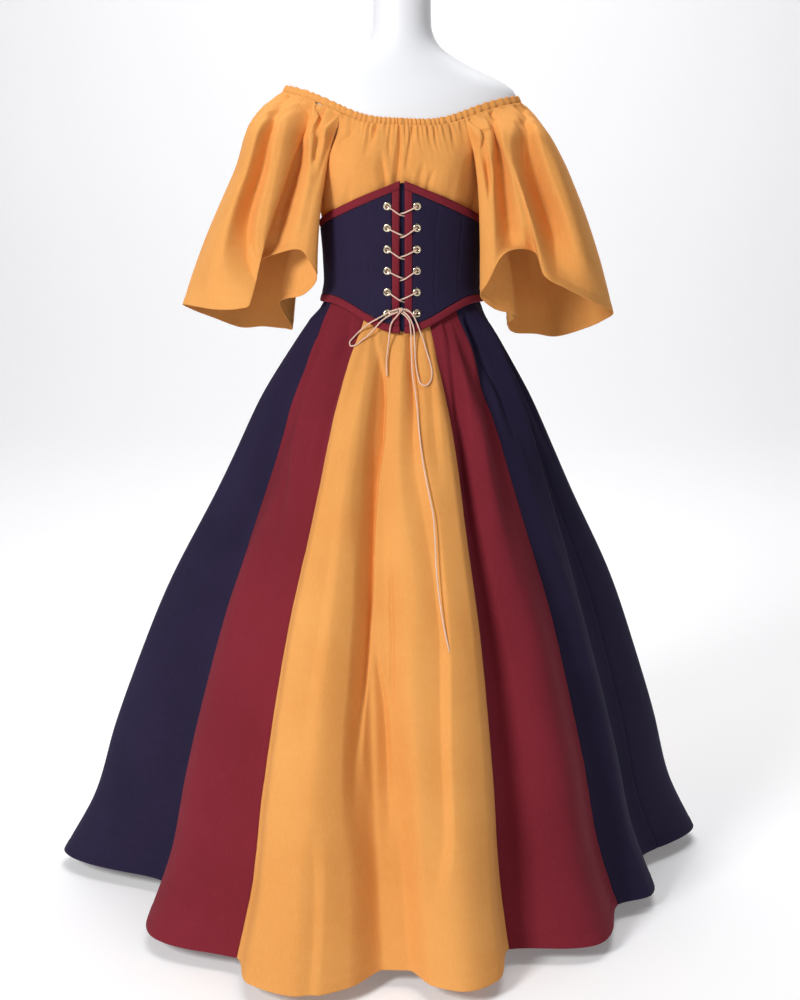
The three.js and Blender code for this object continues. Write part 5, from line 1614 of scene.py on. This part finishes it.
@dataclass
class Sleeve:
    """A wide flared raglan sleeve.

    Places round it run from the armpit up the front seam (108), along the neckline over the shoulder
    (180) to the back corner (252) and down the back seam to the armpit again (360).
    """

    word: str
    side: int
    spread: float
    drop: float
    puff: float
    hem: tuple[tuple[float, float, float, float], ...]
    folds: tuple[SleeveFold, ...]
    pleats: tuple[Pleat, ...]
    push: float = 0.008
    front_y: float = -0.114
    pleat_depth: float = 2.1
    clearance: float = 0.0026
    front_corner: float = 108.0
    back_corner: float = 252.0
    thickness: float = 0.0009
    hem_fold: float = 0.009
    hem_double: float = 0.0005
    hem_drawn: float = -0.0004
    length: float = 0.26
    broad: Ripple = Ripple(0.0022, 0.035, 1.6, 61.0)
    fine: Ripple = Ripple(0.0006, 0.16, 7, 63.0)

    def __post_init__(self) -> None:
        """Makes the curves of the hem."""
        self.hem_x = RingCurve([(row[0], row[1]) for row in self.hem])
        self.hem_y = RingCurve([(row[0], row[2]) for row in self.hem])
        self.hem_z = RingCurve([(row[0], row[3]) for row in self.hem])

    def _upper(self, at: float) -> Vector:
        """Returns a point of the upper edge: the raglan seams and the neckline between them."""
        place = at % 360.0
        if place < self.front_corner:
            return self._on_seam(place / self.front_corner, False)
        if place > self.back_corner:
            return self._on_seam((360 - place) / (360 - self.back_corner), True)
        share = (place - self.front_corner) / (self.back_corner - self.front_corner)
        margin = self._margin(*BLOUSE.raglan_edge(0))
        start = BLOUSE.top_turn + margin
        turn = mix(start, 180 - start, share)
        z = BLOUSE.neckline_z(turn) - BLOUSE.casing + BLOUSE.tuck
        return around(self.side * turn, BLOUSE.radius(turn, z), z)

    @staticmethod
    def _margin(turn: float, z: float) -> float:
        """Returns the seam's clearance as a turn."""
        return math.degrees(BLOUSE.clearance / BLOUSE.radius(turn, z))

    def _on_seam(self, share: float, back: bool) -> Vector:
        """Returns a point of a raglan seam, a share of the way up from the armpit."""
        top_z = BLOUSE.raglan_edge(0)[1]
        armpit_down = (top_z - BLOUSE.armpit_z) / (top_z - WAIST_Z)
        edge_turn, edge_z = BLOUSE.raglan_edge(armpit_down * (1 - share))
        bearing = share * math.pi / 2
        turn = edge_turn + self._margin(edge_turn, edge_z) * math.sin(bearing)
        z = edge_z + BLOUSE.clearance * math.cos(bearing)
        real_turn = 180 - turn if back else turn
        radius = BLOUSE.radius(real_turn, z) + BLOUSE.overlap * math.sqrt(max(0.0, math.cos(bearing)))
        return around(self.side * real_turn, radius, z)

    def _point(self, at: float, down: float) -> Vector:
        """Returns a point of the sleeve's middle surface, with its folds and gathers."""
        top = self._upper(at)
        hem = Vector((self.hem_x.at(at), self.hem_y.at(at), self.hem_z.at(at)))
        bend = Vector((mix(top.x, hem.x, self.spread), mix(top.y, hem.y, self.spread),
                       mix(top.z, hem.z, self.drop)))
        bend += around(facing(top), self.push, 0.0)
        spot = top * (1 - down) ** 2 + bend * (2 * down * (1 - down)) + hem * down ** 2
        spot.y = mix(spot.y, self.front_y, self._flatness(at, down)) + self._fold(at, down)
        turn = facing(spot)
        radius = math.hypot(spot.x, spot.y)
        least = BLOUSE.radius(turn, spot.z) + self.clearance * ease(down, 0.0, 0.03)
        length = (hem - top).length
        neck = ease(at % 360.0, self.front_corner - 22, self.front_corner + 4)
        neck *= 1 - ease(at % 360.0, self.back_corner - 4, self.back_corner + 22)
        ruffle = neck * BLOUSE.ruffle(turn, down * length - 0.002, 0.066, 0.0050)
        uneven = ease(down, 0.0, 0.2) * self.broad.at(at, down, self.side)
        uneven += ease(down, 0.0, 0.1) * self.fine.at(at, down, self.side)
        outer = swell(at - 172, 42) * swell(down - 0.2, 0.17)
        puff = self.puff * outer * ease(down, 0.0, 0.1)
        return around(turn, max(radius, least) + ruffle + uneven + puff, spot.z)

    @staticmethod
    def _flatness(at: float, down: float) -> float:
        """Returns how far the front of the sleeve is drawn to one flat plane, from 0 to 1."""
        across = ease(at, 92, 112) * (1 - ease(at, 160, 187))
        return 0.8 * across * ease(down, 0.0, 0.26) * (1 - 0.85 * ease(down, 0.82, 1.0))

    def _fold(self, at: float, down: float) -> float:
        """Returns how far the folds and pleats move a point along Y."""
        move = -self.pleat_depth * sum(pleat.offset(at, 1 - down) for pleat in self.pleats)
        for fold in self.folds:
            away = at - mix(fold.start, fold.end, down)
            reach = fold.near if away < 0 else fold.far
            strength = ease(down, 0.0, fold.rise) * (1 - ease(down, fold.fade, 1.0))
            face = -1 if fold.start < 180 else 1
            move += face * fold.depth * strength * swell(away, reach)
        return move

    def build(self, finishes: Finishes) -> None:
        """Makes the sleeve and the stitching of its hem."""
        ledge = 1 - self.hem_fold / self.length

        def surface(across: float, down: float) -> Vector:
            at = across * 360.0
            spot = self._point(at, down)
            thick = self.hem_double * ease(down, ledge - 0.002, ledge + 0.002)
            drawn = self.hem_drawn * swell(down - ledge, 0.006)
            turn = facing(spot)
            return FIGURE.lean(spot + around(turn, thick + drawn, 0.0))

        rows = spaced(22, 0.0, 0.16) + spaced(52, 0.17, ledge - 0.012) + [ledge - 0.004, ledge, ledge + 0.004]
        rows += [ledge + 0.012, 0.985, 0.995, 1.0]
        columns = spaced(84, 0.0, 0.30) + spaced(160, 0.3025, 0.70) + spaced(56, 0.7035, 1.0)
        cloth = Panel(f"sleeve_{self.word}_cloth", surface, columns, rows, Cut(0.98, 0.34, 0.225),
                      self.thickness)
        finishes.sew(cloth, Slot.MUSTARD, f"sleeve_{self.word}")
        row = Stitching(f"sleeve_{self.word}_hem_stitches", pitch=0.0040, length=0.0027, width=0.0005)
        finishes.stitch(row, Slot.MUSTARD, self._hem_line(surface, ledge))

    def _hem_line(self, surface: Surface, ledge: float) -> list[tuple[Vector, Vector]]:
        """Returns the line of the hem's stitches, on the outer face of the cloth."""
        line = []
        step, drop, above = 0.0015, 0.01, 0.0001
        for across in spaced(500):
            side = surface(across + step, ledge) - surface(across - step, ledge)
            fall = surface(across, ledge + drop) - surface(across, ledge - drop)
            out = fall.cross(side).normalized() * self.side
            line.append((surface(across, ledge) + out * (self.thickness / 2 + above), out))
        return line


SLEEVE_RIGHT = Sleeve(
    "right", 1, 0.56, 0.3, 0.004,
    hem=(
        (0, 0.178, 0.025, 0.946), (30, 0.187, -0.025, 0.966), (50, 0.150, -0.058, 0.978),
        (64, 0.126, -0.080, 1.000), (78, 0.136, -0.098, 1.022), (93, 0.158, -0.106, 1.063),
        (106, 0.184, -0.096, 1.075), (118, 0.215, -0.076, 1.068), (130, 0.226, -0.106, 1.034),
        (146, 0.259, -0.092, 1.014), (164, 0.311, -0.052, 0.989), (183, 0.352, 0.000, 0.969),
        (203, 0.342, 0.042, 0.953), (222, 0.314, 0.080, 0.936), (242, 0.268, 0.104, 0.921),
        (264, 0.232, 0.094, 0.926), (300, 0.194, 0.064, 0.930),
    ),
    folds=(
        SleeveFold(206, 214, -0.016, 10, 9), SleeveFold(232, 244, 0.012, 9, 11),
        SleeveFold(219, 228, -0.008, 5, 4, 0.15, 0.5),
    ),
    pleats=(
        Pleat(((0.985, 131, 136, 141, 0.002), (0.825, 119, 128, 133.5, 0.008),
               (0.592, 107, 116, 122, 0.014), (0.411, 97.5, 110.6, 117, 0.017),
               (0.260, 92, 107.5, 114.5, 0.018), (0.120, 88.5, 104.8, 113, 0.015),
               (0.010, 86.5, 102.5, 112, 0.006))),
        Pleat(((0.985, 160, 166, 171, 0.002), (0.937, 155.5, 164, 170, 0.004),
               (0.847, 146, 156, 164, 0.009), (0.700, 134, 149.5, 158.5, 0.014),
               (0.562, 128, 147.1, 156.5, 0.019), (0.432, 127, 146.1, 156.5, 0.023),
               (0.319, 128, 146.4, 158, 0.023), (0.220, 129, 146.4, 158.5, 0.019),
               (0.116, 129, 144.5, 158.5, 0.010), (0.010, 129, 142, 157, 0.0))),
        Pleat(((0.845, 112.5, 118.5, 124, 0.002), (0.661, 92.5, 106, 111, 0.005),
               (0.560, 91, 101, 106, 0.006), (0.460, 88.5, 96.1, 101, 0.004),
               (0.366, 86, 90.7, 95.5, 0.0))),
    ),
)
SLEEVE_LEFT = Sleeve(
    "left", -1, 0.54, 0.36, 0.015,
    hem=(
        (0, -0.184, 0.014, 0.944), (30, -0.200, -0.030, 0.988), (50, -0.161, -0.062, 1.001),
        (66, -0.138, -0.084, 1.026), (82, -0.148, -0.099, 1.055), (97, -0.168, -0.100, 1.075),
        (110, -0.227, -0.088, 1.059), (120, -0.262, -0.070, 1.040), (130, -0.242, -0.112, 0.992),
        (142, -0.262, -0.112, 0.981), (157, -0.301, -0.090, 0.979), (170, -0.332, -0.055, 0.981),
        (185, -0.366, 0.000, 0.982), (204, -0.352, 0.040, 0.970), (222, -0.326, 0.076, 0.956),
        (242, -0.281, 0.104, 0.937), (264, -0.242, 0.094, 0.939), (300, -0.202, 0.058, 0.938),
    ),
    folds=(
        SleeveFold(204, 212, -0.016, 9, 11), SleeveFold(233, 246, 0.012, 11, 8),
        SleeveFold(220, 230, -0.008, 4, 5, 0.15, 0.5),
    ),
    pleats=(
        Pleat(((0.985, 156, 161, 166, 0.002), (0.900, 150.5, 155.4, 163, 0.006),
               (0.790, 147, 152.5, 160, 0.010), (0.705, 147, 152.3, 161, 0.012),
               (0.620, 145.5, 152.3, 162.5, 0.014), (0.520, 144.5, 152.8, 164, 0.016),
               (0.420, 144, 152.3, 165, 0.017), (0.330, 142.5, 150, 165, 0.016),
               (0.238, 138, 146, 162, 0.011), (0.120, 127, 135, 154, 0.005), (0.010, 118, 123, 140, 0.0))),
        Pleat(((0.990, 134.5, 141.5, 150, 0.003), (0.930, 127, 135.4, 150, 0.008),
               (0.840, 117.5, 127.5, 144.5, 0.014), (0.705, 108.5, 118, 141.5, 0.019),
               (0.582, 103, 113.5, 141, 0.022), (0.443, 100.5, 111, 138.5, 0.023),
               (0.309, 99.5, 109.5, 136.5, 0.022), (0.180, 99, 107.5, 130, 0.018),
               (0.070, 98.5, 106, 119, 0.009), (0.0, 98, 105, 114, 0.0))),
        Pleat(((1.0, 126, 130.4, 136, 0.003), (0.918, 115.5, 120.5, 127.5, 0.006),
               (0.780, 103, 109.6, 115.5, 0.008), (0.650, 99, 104.5, 109, 0.006),
               (0.520, 96, 101.5, 106, 0.0))),
    ),
)


def swept(points: Sequence[Vector], steps: int) -> list[Vector]:
    """Returns a smooth line through points, with the given number of steps between each two.

    Args:
        points: The points that the line passes through.
        steps: How many steps there are between two of them.

    Returns:
        The line's points.
    """
    padded = [points[0] * 2 - points[1], *points, points[-1] * 2 - points[-2]]
    line = []
    for i in range(1, len(padded) - 2):
        before, start, end, after = padded[i - 1:i + 3]
        first = math.sqrt((start - before).length)
        middle = math.sqrt((end - start).length)
        last = math.sqrt((after - end).length)
        leave = (start - before) / first - (end - before) / (first + middle) + (end - start) / middle
        arrive = (end - start) / middle - (after - start) / (middle + last) + (after - end) / last
        for step in range(steps):
            share = step / steps
            line.append(Vector([
                hermite(start[k], end[k], leave[k] * middle, arrive[k] * middle, share) for k in range(3)
            ]))
    line.append(points[-1].copy())
    return line


@dataclass
class Cord:
    """A round cord on a smooth line."""

    name: str
    diameter: float = 0.0023

    def build(self, route: Sequence[Vector], steps: int = 6,
              rest: Callable[[Vector, float], Vector] | None = None) -> tuple[bpy.types.Object, float]:
        """Makes the cord.

        Args:
            route: The points that it follows.
            steps: How many steps there are between two of them.
            rest: Moves a point out of the cloth that the cord lies on, given the least distance.

        Returns:
            The cord's object and its length.
        """
        line = swept(route, steps)
        if rest is not None:
            line = [rest(spot, self.diameter / 2) for spot in line]
        curve = bpy.data.curves.new(self.name, "CURVE")
        curve.dimensions = "3D"
        curve.bevel_depth = self.diameter / 2
        curve.bevel_resolution = 4
        curve.use_fill_caps = True
        spline = curve.splines.new("POLY")
        spline.points.add(len(line) - 1)
        for point, spot in zip(spline.points, line):
            point.co = (*spot, 1.0)
        made = bpy.data.objects.new(self.name, curve)
        bpy.context.scene.collection.objects.link(made)
        return made, sum((b - a).length for a, b in zip(line, line[1:]))


@dataclass(frozen=True)
class BowPart:
    """One loop or free end of the bow."""

    name: str
    far_end: str
    route: tuple[Triple, ...]


@dataclass
class Bow:
    """The lace's bow: a knot, two loops and two free ends."""

    knot_place: Triple = (-0.0026, -0.1086, 0.9788)
    knot_scale: Triple = (0.00115, 0.00120, 0.00125)
    parts: tuple[BowPart, ...] = (
        BowPart("bow_loop_left", "object", (
            (-0.0072, -0.1095, 0.9804), (-0.019, -0.1085, 0.9765), (-0.033, -0.107, 0.9685),
            (-0.044, -0.1066, 0.9625), (-0.055, -0.104, 0.956), (-0.067, -0.1018, 0.946),
            (-0.078, -0.1055, 0.935), (-0.084, -0.1085, 0.928), (-0.083, -0.1117, 0.922),
            (-0.075, -0.1132, 0.923), (-0.064, -0.1105, 0.931), (-0.053, -0.1078, 0.940),
            (-0.044, -0.1082, 0.9495), (-0.033, -0.1092, 0.9615), (-0.020, -0.1096, 0.9705),
            (-0.0068, -0.1102, 0.976))),
        BowPart("bow_loop_right", "object", (
            (0.0019, -0.1095, 0.9802), (0.009, -0.1098, 0.979), (0.0175, -0.110, 0.9705),
            (0.024, -0.111, 0.9575), (0.0295, -0.1116, 0.943), (0.0345, -0.114, 0.9295),
            (0.040, -0.123, 0.911), (0.0455, -0.132, 0.894), (0.0475, -0.142, 0.879),
            (0.0445, -0.150, 0.868), (0.037, -0.1545, 0.862), (0.029, -0.1525, 0.866),
            (0.0245, -0.1435, 0.879), (0.0215, -0.1325, 0.8965), (0.0205, -0.121, 0.915),
            (0.020, -0.1134, 0.934), (0.0185, -0.113, 0.950), (0.014, -0.1125, 0.9625),
            (0.0085, -0.112, 0.971), (0.0016, -0.1104, 0.9764))),
        BowPart("bow_end_short", "bare", (
            (-0.0044, -0.1096, 0.9744), (-0.009, -0.110, 0.9685), (-0.014, -0.111, 0.963),
            (-0.0175, -0.112, 0.957), (-0.0195, -0.1134, 0.948), (-0.0205, -0.113, 0.939),
            (-0.022, -0.1134, 0.926), (-0.0235, -0.118, 0.914), (-0.025, -0.1245, 0.901),
            (-0.025, -0.130, 0.890), (-0.0245, -0.1375, 0.876))),
        BowPart("bow_end_long", "bare", (
            (-0.0006, -0.109, 0.9743), (0.007, -0.1102, 0.968), (0.012, -0.112, 0.960),
            (0.0135, -0.1136, 0.950), (0.0145, -0.1136, 0.938), (0.015, -0.1205, 0.916),
            (0.0155, -0.136, 0.893), (0.017, -0.149, 0.874), (0.020, -0.160, 0.857),
            (0.0235, -0.176, 0.831), (0.0265, -0.1975, 0.797), (0.032, -0.2245, 0.752),
            (0.040, -0.245, 0.711), (0.048, -0.263, 0.672), (0.0505, -0.2815, 0.635),
            (0.052, -0.3005, 0.598), (0.057, -0.323, 0.551), (0.064, -0.3415, 0.511),
            (0.071, -0.3545, 0.481))),
    )

    def build(self, finishes: Finishes) -> None:
        """Makes the bow and logs the length of each loop and free end."""
        turns = []
        for step in range(48):
            angle = 2 * math.pi * step / 48
            turns.append(Vector((
                self.knot_place[0] + self.knot_scale[0] * (math.sin(angle) + 2 * math.sin(2 * angle)),
                self.knot_place[1] - self.knot_scale[1] * 1.6 * math.sin(3 * angle),
                self.knot_place[2] + self.knot_scale[2] * (math.cos(angle) - 2 * math.cos(2 * angle)),
            )))
        knot, _ = Cord("bow_knot_cord").build([*turns, turns[0]], steps=1)
        finishes.dress(knot, Slot.CORD, "bow_knot")
        for part in self.parts:
            route = [Vector(point) for point in part.route]
            cord, length = Cord(f"{part.name}_cord").build(route, rest=SKIRT.clear_of)
            finishes.dress(cord, Slot.CORD, part.name)
            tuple(part.route[0])
            LOG.info("%s is %.3f m long", part.name, length)


@dataclass
class Lacing:
    """The eyelets and the two crossing halves of the lace."""

    flange: float = 0.0066
    bore: float = 0.0027
    roll_height: float = 0.0012
    barrel: float = 0.0030
    barrel_wall: float = 0.0009
    above: float = 0.00165
    crossing: float = 0.0034
    cross_share: float = 0.42
    edge_share: float = 0.86

    def build(self, finishes: Finishes) -> None:
        """Makes the eyelets and the lace."""
        for side, word in ((-1, "left"), (1, "right")):
            for row, (spot, out) in enumerate(CORSET.eyelets(side), start=1):
                place = out.to_track_quat("Z", "Y").to_matrix().to_4x4()
                place.translation = spot + out * self.above
                ring = spun(f"eyelet_ring_{word}_{row}", self._profile(), place, 40)
                finishes.dress(ring, Slot.EYELET, f"eyelet_{word}_{row}")
        for side, word, shift in ((-1, "left", 0.0), (1, "right", self.crossing)):
            cord, length = Cord(f"lace_{word}_cord").build(self._route(side, shift), steps=5)
            finishes.dress(cord, Slot.CORD, f"lace_{word}")
            LOG.info("lace %s is %.3f m long", word, length)

    def _profile(self) -> list[Pair]:
        """Returns an eyelet's section: a rolled flange on a short barrel."""
        middle = (self.flange + self.bore) / 2
        half = (self.flange - self.bore) / 2
        roll = [
            (middle + half * math.cos(angle), self.roll_height * math.sin(angle))
            for angle in spaced(8, 0.0, math.pi)
        ]
        outer = self.bore + self.barrel_wall
        return [(self.flange, 0.0), *roll[1:-1], (self.bore, 0.0), (self.bore, -self.barrel),
                (outer, -self.barrel), (outer, 0.0), (self.flange, 0.0)]

    def _route(self, first_side: int, shift: float) -> list[Vector]:
        """Returns one half of the lace: out of an eyelet, down to the gap and under the other side.

        Args:
            first_side: The side of the first eyelet, -1 for left.
            shift: How much higher than the other half it crosses the gap.

        Returns:
            The points that it follows.
        """
        x, top_z, pitch = CORSET.eyelet_x, CORSET.eyelet_top_z, CORSET.eyelet_pitch
        over = CORSET.place
        points = [over(first_side * (x - 0.007), top_z + 0.004, -0.0035),
                  over(first_side * (x - 0.002), top_z + 0.001, -0.0035)]
        side = first_side
        for row in range(CORSET.eyelet_rows):
            z = top_z - row * pitch
            for inset, fall, height in ((0, 0, -0.0016), (0, 0, 0.0022), (0.001, 0.0004, 0.0044),
                                        (0.004, 0.002, 0.005)):
                points.append(over(side * (x - inset), z - fall, height))
            if row < CORSET.eyelet_rows - 1:
                cross = z - pitch * self.cross_share + shift
                points.append(over(side * 0.0052, mix(z, cross, self.edge_share), 0.0037))
                points += [over(side * 0.0014, cross, 0.0022), over(-side * 0.0014, cross - 0.001, -0.0022)]
                points.append(over(-side * 0.0055, cross - 0.003, -0.0035))
                points.append(over(-side * (x - 0.0026), z - pitch + 0.001, -0.0037))
                side = -side
        low_z = top_z - (CORSET.eyelet_rows - 1) * pitch
        knot = Bow.knot_place
        for share_x, share_z in ((0.55, 0.5), (0.81, 0.75)):
            points.append(over(mix(side * x, knot[0], share_x), mix(low_z, knot[2], share_z), 0.0046))
        return points


@dataclass(frozen=True)
class Lamp:
    """A square soft light that looks at a target."""

    name: str
    place: Triple
    target: Triple
    size: float
    power: float

    def build(self) -> None:
        """Adds the light."""
        data = bpy.data.lights.new(self.name, "AREA")
        data.shape = "SQUARE"
        data.size = self.size
        data.energy = self.power
        made = bpy.data.objects.new(self.name, data)
        made.location = self.place
        look = Vector(self.target) - Vector(self.place)
        made.rotation_euler = look.to_track_quat("-Z", "Y").to_euler()
        bpy.context.scene.collection.objects.link(made)


@dataclass
class Studio:
    """The camera, the soft lights and the pale sweep."""

    lamps: tuple[Lamp, ...] = (
        Lamp("key", (-2.5, -3.3, 2.7), (0.0, 0.0, 0.95), 1.1, 148.0),
        Lamp("fill", (2.6, -3.4, 1.6), (0.0, 0.0, 0.8), 2.6, 8.0),
        Lamp("top", (0.2, 0.8, 4.0), (0.0, 0.4, 0.6), 2.8, 96.0),
        Lamp("wall", (0.0, 3.7, 4.6), (0.0, 6.4, 1.4), 3.4, 96.0),
    )
    sky_colour: tuple[float, float, float, float] = (0.95, 0.95, 1.0, 1.0)
    sky_strength: float = 0.10
    sweep_bend: float = 1.4
    sweep_back: float = 6.6
    sweep_height: float = 6.0
    sweep_front: float = -6.6
    sweep_half: float = 7.0
    camera_place: Triple = (-0.0034, -2.72, 1.13)
    pitch: float = 10.0
    lens: float = 58.32

    def camera(self) -> None:
        """Makes the camera."""
        data = bpy.data.cameras.new("camera")
        data.lens = self.lens
        data.sensor_width = 36.0
        made = bpy.data.objects.new("camera", data)
        made.location = self.camera_place
        made.rotation_euler = (math.radians(90 - self.pitch), 0.0, 0.0)
        bpy.context.scene.collection.objects.link(made)
        bpy.context.scene.camera = made

    def build(self) -> None:
        """Makes the lights, the world and the sweep."""
        for lamp in self.lamps:
            lamp.build()
        world = bpy.data.worlds.new("studio")
        world.use_nodes = True
        back = world.node_tree.nodes["Background"]
        back.inputs["Color"].default_value = self.sky_colour
        back.inputs["Strength"].default_value = self.sky_strength
        bpy.context.scene.world = world
        bpy.context.scene.view_settings.view_transform = "Standard"
        self._sweep()

    def _sweep(self) -> None:
        """Makes the floor that curves up into the backdrop."""
        bend, back, front = self.sweep_bend, self.sweep_back, self.sweep_front
        flat = back - bend - front
        arc = bend * math.pi / 2
        total = flat + arc + self.sweep_height - bend
        mesh = bmesh.new()
        bmesh.ops.create_grid(mesh, x_segments=4, y_segments=90, size=0.5)
        for vertex in mesh.verts:
            walked = (vertex.co.y + 0.5) * total
            x = vertex.co.x * 2 * self.sweep_half
            if walked < flat:
                vertex.co = (x, front + walked, 0.0)
            elif walked < flat + arc:
                angle = (walked - flat) / bend
                vertex.co = (x, back - bend + bend * math.sin(angle), bend - bend * math.cos(angle))
            else:
                vertex.co = (x, back, bend + walked - flat - arc)
        sweep = object_of("pale_sweep", mesh)
        sweep.data.materials.append(StudioFinish().build())


def main() -> None:
    """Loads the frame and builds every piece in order."""
    logging.basicConfig(level=logging.INFO, format="%(message)s")
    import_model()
    studio = Studio()
    studio.camera()
    finishes = Finishes()
    for assembly in (Bow(), Lacing(), DressForm(), Stand(), CORSET, SKIRT, BLOUSE, SLEEVE_RIGHT, SLEEVE_LEFT):
        assembly.build(finishes)
    studio.build()


if __name__ == "__main__":
    main()
